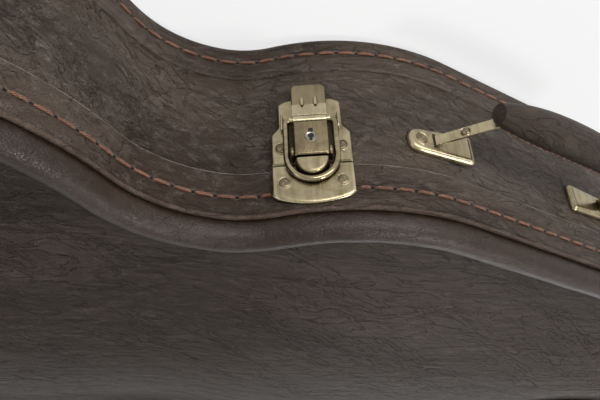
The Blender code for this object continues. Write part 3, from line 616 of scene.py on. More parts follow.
def new_object(name, bm, surface, place=None, angle=40.0):
    bmesh.ops.recalc_face_normals(bm, faces=bm.faces)
    data = bpy.data.meshes.new(name)
    bm.to_mesh(data)
    bm.free()
    made = bpy.data.objects.new(name, data)
    bpy.context.scene.collection.objects.link(made)
    data.materials.append(surface)
    data.shade_smooth()
    data.set_sharp_from_angle(angle=radians(angle))
    if place is not None:
        made.matrix_world = place
    return made


def skin(name, rings, surface, closed=False, caps=(False, False), levels=None, place=None, angle=40.0):
    """A surface through rings of as many points each. Levels give it UV in metres, along and up."""
    bm = bmesh.new()
    uv = bm.loops.layers.uv.new("UVMap")
    rows = [[bm.verts.new(point) for point in line] for line in rings]
    pairs = list(zip(range(len(rows)), range(1, len(rows))))
    if closed:
        pairs.append((len(rows) - 1, 0))
    count = len(rows[0])
    for low, high in pairs:
        for i in range(count):
            j = (i + 1) % count
            face = bm.faces.new((rows[low][i], rows[low][j], rows[high][j], rows[high][i]))
            if levels:
                spots = ((i, low), (i + 1, low), (i + 1, high), (i, high))
                for loop, (k, level) in zip(face.loops, spots):
                    loop[uv].uv = (ARC[k], levels[level])
    if caps[0]:
        bm.faces.new(rows[0])
    if caps[1]:
        bm.faces.new(rows[-1])
    return new_object(name, bm, surface, place, angle)


def solid(name, rings, surface, place=None, angle=40.0):
    return skin(name, rings, surface, caps=(True, True), place=place, angle=angle)


def add_rod(bm, rings, first_cap=True):
    """Adds a small solid through these rings to a mesh that holds many of them."""
    rows = [[bm.verts.new(point) for point in line] for line in rings]
    for low, high in zip(rows, rows[1:]):
        for i in range(len(low)):
            j = (i + 1) % len(low)
            bm.faces.new((low[i], low[j], high[j], high[i]))
    if first_cap:
        bm.faces.new(rows[0])
    bm.faces.new(rows[-1])


def weld(made, angle):
    """Joins the points that lie in one place, such as those of a ring that closes to a line."""
    bm = bmesh.new()
    bm.from_mesh(made.data)
    bmesh.ops.remove_doubles(bm, verts=bm.verts, dist=1e-5)
    bmesh.ops.recalc_face_normals(bm, faces=bm.faces)
    bm.to_mesh(made.data)
    bm.free()
    made.data.shade_smooth()
    made.data.set_sharp_from_angle(angle=radians(angle))


def bevelled(made, width):
    step = made.modifiers.new("edges", "BEVEL")
    step.width = width
    step.segments = 2
    step.limit_method = "ANGLE"
    step.angle_limit = radians(35)
    step.harden_normals = True
    return made


def plate(name, shape, steps, surface, place, out=0.0, angle=40.0):
    """A plate on the wall. A step is a height above out and how far the shape is moved in, in mm."""
    layers = [(out + height, shrink(shape, inset)) for height, inset in mm(*steps)]
    rings = [[(s, -height, up) for s, up in layer] for height, layer in layers]
    return solid(name, rings, surface, place, angle)


def prism(name, profile, low, high, surface, place, bevel=0.0004):
    """A profile of (out, up) points, carried along the wall from low to high."""
    rings = [[(s, -out, up) for out, up in profile] for s in (low, high)]
    return bevelled(solid(name, rings, surface, place), bevel)


def tube(name, path, radius, surface, place=None, resolution=6, cyclic=False):
    curve = bpy.data.curves.new(name, "CURVE")
    curve.dimensions = "3D"
    curve.bevel_depth = radius
    curve.bevel_resolution = resolution
    curve.use_fill_caps = True
    line = curve.splines.new("POLY")
    line.points.add(len(path) - 1)
    for point, place_at in zip(line.points, path):
        point.co = (*place_at, 1.0)
    line.use_cyclic_u = cyclic
    line.use_smooth = True
    made = bpy.data.objects.new(name, curve)
    bpy.context.scene.collection.objects.link(made)
    curve.materials.append(surface)
    if place is not None:
        made.matrix_world = place
    return made


RIVET_SIDES = 20
RIVET_RIM_ROWS = 4
RIVET_PROFILE = (
    (1.30, 0.0), (1.28, 0.00030), (1.20, 0.00048), (1.10, 0.00036), (1.02, 0.00002),
    (0.99, 0.00020), (0.93, 0.00042), (0.78, 0.00062), (0.52, 0.00078), (0.25, 0.00085),
)


def rivet_set(name, places, out, place, radius=0.0031):
    """Domed rivet heads, each in a dished rim, as one piece."""
    bm = bmesh.new()
    for along, up in places:
        add_rod(bm, [
            [(along + radius * share * cos(a), -(out + rise), up + radius * share * sin(a))
             for a in around(RIVET_SIDES)]
            for share, rise in RIVET_PROFILE
        ], first_cap=False)
    # The rivet domes take the darker copy of the brass, painted shade, and the dished rims the plain brass.
    made = new_object(name, bm, BRASS_PAINTED_SHADE, place, 60)
    made.data.materials.append(BRASS)
    faces_each = (len(RIVET_PROFILE) - 1) * RIVET_SIDES + 1
    for face in made.data.polygons:
        if face.index % faces_each < RIVET_RIM_ROWS * RIVET_SIDES:
            face.material_index = 1
    return made


def put(made, body, *stands_for, finish="antique_brass", fill=None):
    """Rides on the body and takes the place of the named solids. The finish and the fill it is given are
    not used.
    """
    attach(made, body)
    if stands_for:
        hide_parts(*stands_for)


def noise_push(made, scale, amount, offset, mask=None):
    """Moves the points along their normals by smooth noise, so that a soft surface isn't too even."""
    data = made.data
    normals = [vertex.normal.copy() for vertex in data.vertices]
    for vertex, normal in zip(data.vertices, normals):
        place = Vector([a * b for a, b in zip(vertex.co, scale)])
        push = noise.noise(place + Vector(offset)) * amount
        if mask:
            push *= mask(vertex.co)
        vertex.co += normal * push


# Shells

def make_shells():
    rings = [ring(EDGE_ROUND + 0.02, 0.0)]
    rings += [ring(EDGE_ROUND * (1 - sin(a)), EDGE_ROUND * (1 - cos(a))) for a in quarter(6)]
    rings += [ring(0.0, z) for z in (0.012, 0.03, 0.045, 0.06, 0.075, 0.088, PARTING - 0.0012)]
    rings += [ring(0.0003, PARTING - 0.0004), ring(0.0012, PARTING)]
    rings += [ring(WALL - 0.0008, PARTING), ring(WALL, PARTING - 0.0008)]
    outer = skin("bottom_shell_leather", rings, LEATHERETTE, caps=(True, False), angle=55)
    put(outer, "bottom", "bottom_shell", finish="leatherette")

    shares = (
        1.0, 0.93, 0.86, 0.78, 0.7, 0.62, 0.54, 0.46, 0.38,
        0.31, 0.24, 0.18, 0.13, 0.09, 0.055, 0.03, 0.012, 0.0,
    )
    rings = [arch_ring(ARCH_INSET, ARCH_FOOT, share) for share in shares]
    profile = above(ROLL_SEAT, (9.3, 0.5), (0.0, -0.2)) + above(LID_LOW, (0.0, 2.0), (0.0, 0.8), (0.6, 0.1))
    profile += [(WALL - 0.0008, LID_LOW), (WALL, LID_LOW + 0.0008)]
    rings += [ring(*point) for point in profile]
    lid = skin("lid_shell_leather", rings, PANEL_LEATHER_PAINTED_SHADE)
    weld(lid, 50)

    def panel_only(co):
        return min(max((co.z - ARCH_FOOT - 0.0005) / 0.004, 0.0), 1.0)

    noise_push(lid, (9.0, 24.0, 9.0), 0.0009, (3.1, 0.4, 2.0), panel_only)
    put(lid, "lid", "lid_shell", finish="leatherette")

    inset, height = 0.0078, 0.1315
    half_across, half_high = 0.0083, 0.0103
    profile = [(0.0110, ROLL_SEAT + 0.0003), (0.0030, ROLL_SEAT + 0.0003)]
    steps = 20
    for i in range(steps + 1):
        turn = radians(-20 + 145 * i / steps)
        profile.append((inset - half_across * cos(turn), height + half_high * sin(turn)))
    rings = [ring(*point) for point in profile]
    roll = skin("shoulder_roll_leather", rings, ROLL_LEATHER_PAINTED_SHADE, closed=True, angle=60)
    noise_push(roll, (70.0, 70.0, 40.0), 0.00035, (1.0, 5.0, 2.0))
    put(roll, "lid", "shoulder_roll", finish="leatherette", fill=0.9)


STITCH_CHANNEL = ((-2.2, -3.0), (-1.7, -0.8), (-1.7, 0.8), (-2.2, 3.0))


def make_band(node, profile, surface, body, angle):
    rings = [ring(*point) for point in profile]
    levels = [height for inset, height in profile]
    band = skin(node + "_leather", rings, surface, closed=True, levels=levels, angle=angle)
    put(band, body, node, finish="band_leather")


def make_bands():
    low = BACK_BAND_LOW
    high = low + BACK_BAND_HEIGHT
    profile = above(low, (-0.3, 0.0), (-1.2, 0.1), (-2.0, 0.7), (-2.3, 1.8), (-2.3, 6.0))
    profile += above(BACK_BAND_STITCH, *STITCH_CHANNEL)
    profile += above(high, (-2.3, -5.0), (-2.3, -1.4), (-2.1, -0.6), (-1.4, -0.1), (-0.3, 0.0))
    make_band("back_band", profile, BACK_BAND_LEATHER, "bottom", 50)

    low = LID_LOW + CLEAR
    high = low + LID_BAND_HEIGHT
    profile = above(low, (-0.3, 0.0), (-1.6, 0.0), (-2.2, 0.4), (-2.4, 1.1), (-2.3, 6.0))
    profile += above(LID_BAND_STITCH, *STITCH_CHANNEL)
    profile += above(high, (-2.3, -3.0), (-2.1, -0.9), (-1.8, -0.2))
    for turn in (-60, -35, -10, 15, 40, 65, 90, 120):
        a = radians(turn)
        profile.append((-0.0018 - BEAD_RADIUS * cos(a), high + BEAD_RADIUS + BEAD_RADIUS * sin(a)))
    profile.append((-0.0003, high + BEAD_RADIUS))
    make_band("lid_band", profile, LID_BAND_LEATHER, "lid", 70)


def covered(distance, spans):
    return any(low < distance < high for low, high in spans)


def make_stitches(name, height, body, spans):
    """Three twisted plies for each stitch, as one piece for the row, with gaps under the plates."""
    bm = bmesh.new()
    steps = 24
    for k in range(round(AROUND / PITCH)):
        begin = (k + 0.5) * PITCH + STITCH_GAP / 2
        end = (k + 1.5) * PITCH - STITCH_GAP / 2
        while end > begin and covered(begin, spans):
            begin += 0.0004
        while end > begin and covered(end, spans):
            end -= 0.0004
        if end - begin < 0.003:
            continue
        wander = noise.noise(Vector((k * 1.7, height * 50, 0.0))) * 0.0003
        for ply in range(3):
            rings = []
            for i in range(steps + 1):
                t = i / steps
                place, normal = edge_place(begin + (end - begin) * t)
                full = min(1.0, 3.2 * min(t, 1 - t) + 0.30)
                lift = STITCH_OUT - 0.0004 + 0.0010 * full
                turn = 2 * pi * (PLY_TURNS * t * (end - begin) / (PITCH - STITCH_GAP) + ply / 3) + k
                center = Vector((place.x, place.y, height + wander * sin(t * pi)))
                center += normal * (lift + PLY_OFFSET * full * 0.7 * cos(turn))
                center.z += PLY_OFFSET * full * sin(turn)
                radius = PLY_RADIUS * full
                rings.append([
                    center + normal * cos(a) * radius + Vector((0, 0, sin(a) * radius))
                    for a in around(5)
                ])
            add_rod(bm, rings)
    put(new_object(name, bm, THREAD, angle=80), body, finish="band_leather")


# Latches, in the wall's frame at the parting line

LATCHES = {
    "tail_latch": LOWER_X + 0.040,
    "waist_latch": WAIST_X - 0.0485,
    "neck_latch": NECK_X - NECK_LENGTH * 0.20,
    "head_latch": NECK_X - NECK_LENGTH * 0.86,
}
LOCKING_LATCH = "waist_latch"
SIDES = (("r", -1), ("l", 1))


def make_latch_base(name, place):
    right = mm(
        (22.25, -0.6, 0.6), (22.25, -21.4, 2.5), (17.85, -27.0, 3.0), (17.85, -44.0, 2.5),
        (13.0, -46.8, 4.0),
    )
    shape = rounded(right + [(-s, up, radius) for s, up, radius in right[::-1]], 0.001)
    steps = ((0.3, 0.0), (1.0, 0.0), (1.6, 0.4), (1.9, 1.2))
    put(plate(name + "_base_plate", shape, steps, BRASS, place), "bottom", name + "_base", name + "_pin")
    for label, sign in SIDES:
        keeper = mm((1.2, -34.5), (5.2, -33.5), (6.8, -30.0), (6.8, -26.2), (5.2, -22.8), (1.2, -21.5))
        low, high = sorted((sign * 0.0153, sign * 0.0165))
        put(prism(f"{name}_keeper_{label}", keeper, low, high, BRASS, place, 0.0005), "bottom")
        ear = [(0.0012, -0.0105), *arc((0.0075, -0.0045), 0.0029, -QUARTER, QUARTER, 8), (0.0012, -0.0018)]
        low, high = sorted((sign * 0.0098, sign * 0.0112))
        put(prism(f"{name}_pivot_ear_{label}", ear, low, high, BRASS_PAINTED_SHADE, place, 0.0003), "bottom")
    ends = mm((-11.3, -7.5, -4.5), (11.3, -7.5, -4.5))
    put(tube(name + "_pivot_pin", ends, 0.0012, BRASS_PAINTED_SHADE, place), "bottom")
    put(rivet_set(name + "_base_rivets", mm((-16.6, -12.0), (16.6, -12.0)), 0.0019, place), "bottom")
    # Painted shade: a dark sheet on the base plate, under the lever and inside the loop.
    lever_shade_shape = mm((13.6, -1.0), (-13.6, -1.0), (-13.6, -29.0), (13.6, -29.0))
    put(plate(name + "_recess", lever_shade_shape, ((1.5, 0.0), (1.95, 0.0)), LEVER_PAINTED_SHADE, place), "bottom")


def make_lever(name, place):
    body = name + "_lever"
    half, wide = LEVER_HALF_WIDTH, TAB_HALF_WIDTH
    tab = rounded([
        (wide, -0.0390, 0.0), (wide, -0.0545, 0.004), (-wide, -0.0545, 0.004), (-wide, -0.0390, 0.0)
    ], 0.0)
    put(plate(name + "_finger_tab", tab, ((4.6, 0.0), (5.4, 0.0), (6.0, 0.5)), BRASS_PAINTED_SHADE, place), body)
    slope = mm((4.6, -39.3), (6.0, -39.8), (10.0, -28.5), (8.8, -28.0))
    put(prism(name + "_lever_slope", slope, -wide, wide, BRASS, place), body)
    for label, sign in SIDES:
        rings = []
        for z, size in ((-0.0450, 0.2), (-0.0440, 0.8), (-0.0420, 1.0), (-0.0398, 1.0), (-0.0380, 0.6)):
            out = 0.0058 + max(0.0, (z + 0.0400) * 0.4)
            rings.append([
                (sign * 0.0038 + 0.0013 * size * cos(a), -(out + 0.0018 * size * sin(a)), z)
                for a in around(10)
            ])
        put(solid(f"{name}_tab_rib_{label}", rings, BRASS, place, 70), body)
    barrel = mm((-9.2, -8.7, -25.4), (0.0, -8.7, -25.4), (9.2, -8.7, -25.4))
    put(tube(name + "_lever_barrel", barrel, 0.0027, BRASS_WIRE, place, 10), body)
    for label, sign in SIDES:
        stub = mm((sign * 9.2, -7.5, -27.0), (sign * 11.4, -7.5, -27.0))
        put(tube(f"{name}_barrel_end_{label}", stub, 0.0017, BRASS_WIRE, place), body)
    face = rounded([
        (half, -0.0236, 0.0004), (-half, -0.0236, 0.0004), (-half, -0.0007, 0.0016), (half, -0.0007, 0.0016)
    ], 0.001)
    steps = ((3.0, 0.0), (10.0, 0.0), (10.6, 0.3), (11.0, 0.9))
    put(plate(name + "_lever_box", face, steps, BRASS_FACE, place), body, body)


def make_loop(name, place):
    """The wire loop, from its two ends at the lever's pivot to its round end over the hook."""
    side = LOOP_HALF_WIDTH
    top = LOOP_PIVOT_DROP + LOOP_SEAT_RISE
    bend = top - LOOP_END_ROUND
    foot = ((0.0042, 0.0), (0.0024, 0.0), (0.0010, 0.0004), (0.0002, 0.0013), (0.0, 0.0030))
    right = [(side - back, up) for back, up in foot]
    right += [(side, 0.0030 + (bend - 0.0030) * k / 8) for k in range(1, 8)]
    end = [(side * cos(a), bend + LOOP_END_ROUND * sin(a)) for a in (pi * k / 18 for k in range(19))]
    path = right + end + [(-s, up) for s, up in right[::-1]]
    lean = (LOOP_SEAT_OUT - LOOP_PIVOT_OUT) / top
    points = [(s, -LOOP_PIVOT_OUT - lean * up, up - LOOP_PIVOT_DROP) for s, up in path]
    put(tube(name + "_wire_loop", points, LOOP_WIRE, BRASS_WIRE, place, 8), name + "_loop", name + "_loop")


def make_catch(name, place):
    wide = LATCH_HALF_WIDTH
    low, high = 0.0012, 0.0212
    shape = [(wide, low), (wide, high - 0.001)]
    for i in range(1, 16):
        along = wide - 2 * wide * i / 16
        shape.append((along, high + 0.0050 * (1 - (along / wide) ** 2)))
    shape += [(-wide, high - 0.001), (-wide, low)]
    steps = ((2.6, 0.0), (3.1, 0.0), (3.8, 0.5), (4.2, 1.3), (4.3, 2.6))
    put(plate(name + "_catch_plate", shape, steps, BRASS, place), "lid", name + "_catch")
    put(rivet_set(name + "_catch_rivets", mm((-15.6, 12.6), (15.6, 12.6)), 0.0040, place), "lid")
    begin, tip = 0.0007, 0.0106
    rings = []
    for out, share in ((0.0036, 1.06), (0.0060, 0.97), (0.0088, 0.95), (0.0098, 0.90), (0.0102, 0.80)):
        rings.append([
            (0.00935 * share * cos(a), -out, begin + (tip - begin) * share * sin(a))
            for a in (pi * i / 20 for i in range(21))
        ])
    put(bevelled(solid(name + "_catch_hook", rings, BRASS, place, 50), 0.0003), "lid")


def make_lock(name, place):
    at = place @ Matrix.Translation((0.0, -0.0110, -0.0120))
    profile = mm((3.3, -0.2), (3.3, 0.3), (3.0, 0.5), (2.6, 0.2), (2.4, 0.1))
    rings = [[(radius * cos(a), -out, radius * sin(a)) for a in around(24)] for radius, out in profile]
    put(solid("lock_plug", rings, LOCK_STEEL, at, 60), "lock_cylinder", "lock_cylinder")
    key = mm(
        (-0.8, 2.7), (0.8, 2.7), (0.8, 0.6), (1.6, -0.1), (1.6, -1.4),
        (0.7, -2.3), (-0.7, -2.3), (-1.6, -1.4), (-1.6, -0.1), (-0.8, 0.6),
    )
    # Near-black sheet: painted shade for the keyhole.
    put(plate("lock_keyhole", key, ((0.1, 0.0), (0.22, 0.0)), HOLE_PAINTED_SHADE, at), "lock_cylinder")
    # Near-black sheet: painted shade for the notch.
    notch = rounded(mm((-1.3, -6.0), (1.3, -6.0), (1.3, -3.5), (-1.3, -3.5)), 0.0003)
    put(plate("lock_notch", notch, ((-0.1, 0.0), (0.08, 0.0)), HOLE_PAINTED_SHADE, at), name + "_lever")


# Handle

def handle_frame():
    """The frames of the two end plates, the frame between them and half their distance."""
    first = wall_frame(WAIST_X - HANDLE_FROM_WAIST, HANDLE_HEIGHT)
    second = wall_frame(WAIST_X - HANDLE_FROM_WAIST - HANDLE_SPAN, HANDLE_HEIGHT)
    chord = first.translation - second.translation
    middle = (first.translation + second.translation) / 2
    place = Matrix.Translation(middle) @ Matrix.Rotation(atan2(chord.y, chord.x), 4, "Z")
    return first, second, place, chord.length / 2


def make_end_plate(label, outer, place):
    corners = [(16.0, -9.6, 8.5), (16.0, 9.6, 8.5), (-27.0, 12.5, 3.0), (-27.0, -12.5, 3.0)]
    shape = [(outer * s * 0.001, up * 0.001 * PLATE_FLATTEN) for s, up in rounded(corners, 3.0, 8)]
    steps = ((0.3, 0.0), (1.2, 0.0), (2.6, 0.4), (3.6, 1.0), (4.2, 2.0), (4.3, 3.4))
    cover = plate(f"handle_end_plate_{label}", shape, steps, BRASS, place, angle=60)
    put(cover, "bottom", f"handle_plate_{label}")
    put(rivet_set(f"handle_end_rivet_{label}", [(outer * 0.0085, 0.0)], 0.0042, place, 0.0036), "bottom")
    # Near-black sheet: painted shade for the slot the strap runs in.
    slot = rounded(mm((-0.8, -5.0), (1.0, -5.0), (1.0, 5.0), (-0.8, 5.0)), 0.0004)
    slot = [(outer * s, up) for s, up in slot]
    put(plate(f"handle_end_slot_{label}", slot, ((4.0, 0.0), (4.42, 0.0)), HOLE_PAINTED_SHADE, place), "bottom")


def make_strap(label, sign, place, path):
    """A flat strap with this path as the middle of its thickness, and its rivet near the grip."""
    sides = [], []
    for i, (s, out) in enumerate(path):
        before = path[max(i - 1, 0)]
        after = path[min(i + 1, len(path) - 1)]
        run = Vector((after[0] - before[0], after[1] - before[1])).normalized() * STRAP_HALF_THICKNESS
        sides[0].append((s + run.y, out - run.x))
        sides[1].append((s - run.y, out + run.x))
    shape = sides[0] + sides[1][::-1]
    rings = [[(sign * s, -out, up) for s, out in shape] for up in (-STRAP_HALF_WIDTH, STRAP_HALF_WIDTH)]
    strap = solid(f"handle_tang_strap_{label}", rings, BRASS, place)
    put(bevelled(strap, 0.0004), "handle", f"handle_tang_{label}")
    run = Vector((path[-1][0] - path[-2][0], path[-1][1] - path[-2][1]))
    spot = Vector(path[-2]) + run.normalized() * min(0.0145, run.length * 0.6)
    turn = Matrix.Rotation(sign * atan2(run.y, -run.x), 4, "Z")
    at = place @ Matrix.Translation((sign * spot.x, -spot.y, 0.0)) @ turn
    put(rivet_set(f"handle_tang_rivet_{label}", [(0.0, 0.0)], 0.0009, at, 0.0024), "handle")


def make_handle():
    first, second, place, span = handle_frame()
    make_end_plate("tail", 1, first)
    make_end_plate("neck", -1, second)
    arm_end = GRIP_HALF_LENGTH - 0.0096
    grip_out = STRAP_ELBOW + (span - arm_end) * tan(STRAP_ANGLE)
    path = [(span, 0.0043), (span - 0.0004, 0.0056), (span - 0.0014, 0.0070), (arm_end, grip_out)]
    make_strap("tail", 1, place, path)
    make_strap("neck", -1, place, path)

    def fullness(share):
        return 0.55 + 0.49 * (1 - abs(share) ** 2.6) ** 0.8

    def bow(share):
        return grip_out + GRIP_BOW * (1 - share * share)

    rings = []
    for i in range(41):
        share = -1.0 + 2.0 * i / 40
        across = GRIP_HALF_WIDTH * fullness(share)
        out = GRIP_HALF_DEPTH * fullness(share)
        rings.append([
            (GRIP_HALF_LENGTH * share, -(bow(share) + out * sin(a)),
             across * copysign(abs(cos(a)) ** 0.85, cos(a)))
            for a in around(32)
        ])
    grip = solid("handle_grip_leather", rings, GRIP_LEATHER, place, 60)
    put(grip, "handle", "handle_grip", finish="grip_leather", fill=1.0)

    bm = bmesh.new()
    seam = radians(-38)
    for side in (-1, 1):
        for k in range(22):
            middle = GRIP_HALF_LENGTH * (-0.86 + 1.72 * k / 21)
            rings = []
            for t in (i / 6 for i in range(7)):
                s = middle + 0.0030 * (t - 0.5)
                full = fullness(s / GRIP_HALF_LENGTH)
                size = 0.00055 * min(1.0, 3.5 * min(t, 1 - t) + 0.25)
                out = bow(s / GRIP_HALF_LENGTH) + GRIP_HALF_DEPTH * full * sin(seam) - 0.0002
                up = side * (GRIP_HALF_WIDTH * full * cos(seam) ** 0.85 + 0.0002)
                rings.append([(s, -out + size * cos(b), up + size * sin(b)) for b in around(6)])
            add_rod(bm, rings)
    put(new_object("handle_grip_stitches", bm, THREAD, place, 80), "handle", finish="grip_leather")


# Hinges

def make_hinge(name, place):
    half = HINGE_HALF_WIDTH
    third = half / 3
    axis_out = 0.002 + LEAF_THICKNESS + KNUCKLE_RADIUS
    for body, out, sign, spans in (
        ("bottom", 0.0003, -1, ((-half, -third - CLEAR), (third + CLEAR, half))),
        ("lid", 0.0026, 1, ((-third, third),)),
    ):
        near, far = sign * LEAF_NEAR, sign * LEAF_FAR
        corners = [(half, near, 0.0003), (half, far, 0.004), (-half, far, 0.004), (-half, near, 0.0003)]
        shape = rounded(corners, 0.003)
        leaf = plate(f"{name}_{body}_plate", shape, ((0.0, 0.0), (0.9, 0.0), (1.4, 0.6)), BRASS, place, out)
        put(leaf, body, f"{name}_{body}_leaf")
        barrel = arc((axis_out, 0.0), KNUCKLE_RADIUS, -QUARTER * 0.9, pi * 0.95, 12)
        profile = [(o, up * sign) for o, up in barrel] + [(out, near * 1.3)]
        for i, (start, stop) in enumerate(spans):
            put(prism(f"{name}_{body}_knuckle_{i}", profile, start, stop, BRASS, place, 0.0003), body)
        spots = [(-0.0143, near + sign * 0.011), (0.0143, near + sign * 0.011)]
        put(rivet_set(f"{name}_{body}_rivets", spots, out + 0.0013, place, 0.0028), body)
    ends = [(-half - 0.0006, -axis_out, 0.0), (half + 0.0006, -axis_out, 0.0)]
    put(tube(name + "_steel_pin", ends, 0.0013, BRASS_WIRE, place), "bottom", name + "_pin")


def make_hinges():
    """Both hinges on the line that touches the two bouts; gives the places where it touches them."""
    lower = Vector((LOWER_X, LOWER_HALF_WIDTH - LOWER_BOUT_RADIUS, 0.0))
    upper = Vector((UPPER_X, UPPER_HALF_WIDTH - UPPER_BOUT_RADIUS, 0.0))
    apart = lower - upper
    turn = atan2(apart.y, apart.x) + asin((LOWER_BOUT_RADIUS - UPPER_BOUT_RADIUS) / apart.length)
    normal = Vector((-sin(turn), cos(turn), 0.0))
    facing = Matrix.Rotation(atan2(normal.x, -normal.y), 4, "Z")
    touches = [lower + normal * LOWER_BOUT_RADIUS, upper + normal * UPPER_BOUT_RADIUS]
    for name, point in zip(("lower_hinge", "upper_hinge"), touches):
        make_hinge(name, Matrix.Translation(point + Vector((0, 0, PARTING))) @ facing)
    return touches


# Plush inside

def soft_block(name, corners, low, high, radius, surface):
    """A padded block on this plan, with round edges."""
    shape = rounded(corners, radius * 1.6, 6)
    levels = [(low + radius - radius * cos(a), radius * (1 - sin(a))) for a in quarter(6)]
    levels += [(low + radius + (high - low - 2 * radius) * k / 5, 0.0) for k in range(1, 5)]
    levels += [(high - radius + radius * sin(a), radius * (1 - cos(a))) for a in quarter(6)]
    rings = [[(x, y, height) for x, y in shrink(shape, inset)] for height, inset in levels]
    return solid(name, rings, surface, angle=70)


def make_piping(body, inset, height):
    path = [(x, y, height) for x, y in outline(inset, 2)]
    piping = tube(body + "_plush_piping", path, PIPING_RADIUS, PLUSH_EDGE, resolution=3, cyclic=True)
    put(piping, body, finish="plush")


def make_bottom_lining():
    top = PARTING - 0.0006
    side = LINING_OUT + LINING_PAD
    rings = [ring(LINING_OUT, LINING_OUT), ring(LINING_OUT, top - 0.004)]
    rings += [ring(LINING_OUT + 0.0005, top - 0.0012), ring(LINING_OUT + 0.0030, top)]
    rings += [
        ring(LINING_OUT + 0.0060 + 0.0060 * sin(a), top - 0.0045 + 0.0045 * cos(a))
        for a in quarter(5)[1:]
    ]
    bulge = ((0.0006, 0.080), (0.0009, 0.060), (0.0006, 0.040), (0.0, 0.022))
    rings += [ring(side + extra, height) for extra, height in bulge]
    rings += [
        ring(side + 0.005 * (1 - cos(a)), LINING_FLOOR + 0.005 * (1 - sin(a)))
        for a in quarter(4)
    ]
    rings.append(ring(side + 0.02, LINING_FLOOR))
    lining = solid("bottom_plush_lining", rings, PLUSH, angle=80)
    put(lining, "bottom", "bottom_lining", finish="plush", fill=0.7)
    make_piping("bottom", side - 0.0017, top - 0.0013)


def make_lid_lining():
    low = LID_LOW + CLEAR
    inset = ARCH_INSET + LINING_OUT + LID_PAD
    under = ARCH_FOOT - WALL - 0.0009 - LID_PAD
    shares = (1.0, 0.9, 0.78, 0.66, 0.54, 0.43, 0.32, 0.22, 0.13, 0.06, 0.0)
    rings = [arch_ring(inset, under, share) for share in shares]
    rings += [ring(LINING_OUT + 0.009, ROLL_SEAT - 0.0085), ring(LINING_OUT + 0.0066, ROLL_SEAT - 0.0110)]
    rings += [ring(LINING_OUT + 0.0062, 0.112), ring(LINING_OUT + LID_PAD, low + 0.003)]
    rings += [ring(LINING_OUT + 0.003 + 0.003 * cos(a), low + 0.0022 - 0.0022 * sin(a)) for a in quarter(4)]
    rings += [ring(LINING_OUT, low + 0.0004), ring(LINING_OUT, ROLL_SEAT - WALL)]
    lining = skin("lid_plush_lining", rings, PLUSH)
    weld(lining, 80)
    put(lining, "lid", "lid_lining", finish="plush", fill=0.6)
    make_piping("lid", LINING_OUT + 0.0052, low + 0.0006)


def make_accessory_box():
    low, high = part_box("accessory_box")
    outer = rounded(box_corners(low, high), 0.003, 5)
    levels = (
        (low[2], 0.0), (high[2] - 0.002, 0.0), (high[2] - 0.0005, 0.0007), (high[2], 0.002),
        (high[2], BOX_WALL - 0.002), (high[2] - 0.0006, BOX_WALL - 0.0005), (high[2] - 0.002, BOX_WALL),
        (low[2] + BOX_WALL, BOX_WALL),
    )
    rings = [[(x, y, height) for x, y in shrink(outer, inset)] for height, inset in levels]
    made = solid("accessory_box_plush", rings, PLUSH, angle=50)
    put(made, "bottom", "accessory_box", finish="plush")

    low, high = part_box("accessory_lid")
    made = soft_block("accessory_lid_plush", box_corners(low, high), low[2], high[2], 0.0018, PLUSH)
    put(made, "accessory_lid", "accessory_lid", finish="plush", fill=0.9)

    low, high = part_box("pull_tab")
    slant = high[0] - 0.004
    corners = [(low[0], low[1]), (slant, low[1]), (high[0], 0.0), (slant, high[1]), (low[0], high[1])]
    made = soft_block("pull_tab_leather", corners, low[2], high[2], 0.0006, GRIP_LEATHER)
    put(made, "accessory_lid", "pull_tab", finish="grip_leather")


def make_cradle(node, depth):
    low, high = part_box(node)
    wide = high[1]
    floor, top = low[2], high[2]
    shape = [(-wide, floor), (wide, floor), (wide, top - 0.003), (wide - 0.003, top), (NOTCH_LIP, top)]
    for turn in (pi * i / 16 for i in range(17)):
        shape.append((NOTCH_HALF_WIDTH * cos(turn), top - depth * sin(turn) ** 0.6))
    shape += [(-NOTCH_LIP, top), (-wide + 0.003, top), (-wide, top - 0.003)]
    edge = [(CRADLE_ROUND * (1 - sin(a)), CRADLE_ROUND * 0.8 * (1 - sin(a))) for a in quarter(4)]
    levels = [(low[0] + back, inset) for back, inset in edge]
    levels += [(high[0] - back, inset) for back, inset in edge[::-1]]
    rings = [[(x, y, z) for y, z in shrink(shape, inset)] for x, inset in levels]
    made = solid(node + "_plush", rings, PLUSH, angle=60)
    put(made, "bottom", node, finish="plush", fill=0.9)


# Light, floor and camera

def make_floor():
    """A pale floor that looks nearly white, but casts only its own grey light on the object."""
    n = Surface("pale_floor", 0.85)
    n.shader.inputs["Base Color"].default_value = (0.92, 0.92, 0.92, 1.0)
    n.shader.inputs["Specular IOR Level"].default_value = 0.1
    glow = n.add("ShaderNodeEmission", {"Strength": 1.0}).outputs[0]
    share = n.math("MULTIPLY", n.seen_rays(), 0.72)
    mixed = n.add("ShaderNodeMixShader", {0: share, 1: n.shader.outputs[0], 2: glow}).outputs[0]
    n.feed(n.tree.nodes["Material Output"].inputs["Surface"], mixed)
    bm = bmesh.new()
    size, drop = 6.0, -0.0002
    bm.faces.new([bm.verts.new((x, y, drop)) for x, y in box_corners((-size, -size), (size, size))])
    new_object("floor", bm, n.made)


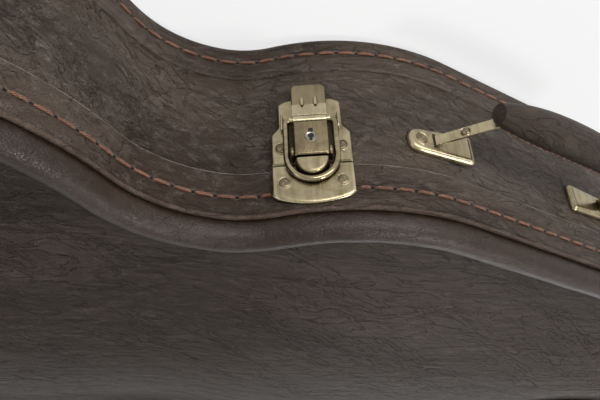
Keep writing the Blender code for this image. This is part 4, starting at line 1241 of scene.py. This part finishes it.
def make_world():
    """Soft grey light, paler from low down, and white where it is seen itself."""
    world = bpy.data.worlds.new("studio")
    bpy.context.scene.world = world
    world.use_nodes = True
    n = Nodes(world.node_tree)
    direction = n.add("ShaderNodeTexCoord").outputs["Generated"]
    parts = n.add("ShaderNodeSeparateXYZ", {0: direction}).outputs
    light = n.span(parts[2], -0.1, 1.0, 0.42, 0.10)
    shown = n.span(parts[1], -0.9, 0.1, 0.50, 1.0)
    strength = n.add("ShaderNodeMix", {0: n.seen_rays(), 2: light, 3: shown}).outputs[0]
    back = n.tree.nodes["Background"]
    n.feed(back.inputs["Strength"], strength)
    back.inputs["Color"].default_value = (1.0, 1.0, 1.0, 1.0)


def make_lamp(name, place, aim, power, size):
    light = bpy.data.lights.new(name, "AREA")
    light.energy = power
    light.shape = "RECTANGLE"
    light.size, light.size_y = size
    made = bpy.data.objects.new(name, light)
    bpy.context.scene.collection.objects.link(made)
    made.location = place
    made.rotation_euler = (Vector(aim) - Vector(place)).to_track_quat("-Z", "Y").to_euler()


def make_camera():
    """The camera that was fitted to the photo, from the waist on the latch side and turned upside down."""
    turn = Matrix.Rotation(-0.592, 3, "X") @ Matrix.Rotation(0.296, 3, "Y") @ Matrix.Rotation(0.048, 3, "Z")
    rest = Matrix(((-1.0, 0.0, 0.0), (0.0, 0.0, -1.0), (0.0, -1.0, 0.0)))
    data = bpy.data.cameras.new("camera")
    data.sensor_width = 36.0
    data.lens = 698.058 / 600 * 36.0
    data.clip_start = 0.02
    made = bpy.data.objects.new("camera", data)
    bpy.context.scene.collection.objects.link(made)
    place = Vector((WAIST_X + 0.058375, -WAIST_HALF_WIDTH - 0.308863, 0.321359))
    made.matrix_world = Matrix.Translation(place) @ (turn @ rest).transposed().to_4x4()
    bpy.context.scene.camera = made


make_camera()
make_floor()
make_world()
make_lamp("key", (-0.68, -0.54, 1.47), (0.14, -0.16, 0.10), 11.0, (0.35, 0.35))
make_lamp("front", (-0.1, -1.6, 0.45), (0.1, -0.1, 0.08), 19.0, (1.6, 0.6))
make_lamp("fill", (-0.9, 1.5, 0.8), (0.0, 0.0, 0.1), 4.0, (1.2, 0.8))
make_lamp("side", (1.7, -0.5, 0.5), (0.1, 0.0, 0.1), 3.0, (0.8, 0.8))
make_shells()
make_bands()
hinge_places = make_hinges()
covers = [(distance_at(x, -1), LATCH_COVER) for x in LATCHES.values()]
covers += [(distance_at(point.x, 1), HINGE_COVER) for point in hinge_places]
make_stitches("back_band_stitches", BACK_BAND_STITCH, "bottom", [])
make_stitches("lid_band_stitches", LID_BAND_STITCH, "lid", [(at - half, at + half) for at, half in covers])
for latch_name, latch_x in LATCHES.items():
    latch_place = wall_frame(latch_x, PARTING)
    make_latch_base(latch_name, latch_place)
    make_lever(latch_name, latch_place)
    make_loop(latch_name, latch_place)
    make_catch(latch_name, latch_place)
    if latch_name == LOCKING_LATCH:
        make_lock(latch_name, latch_place)
make_handle()
make_bottom_lining()
make_lid_lining()
make_accessory_box()
make_cradle("neck_cradle", 0.024)
make_cradle("head_cradle", 0.018)

bpy.context.scene.view_settings.view_transform = "Standard"
bpy.context.view_layer.update()
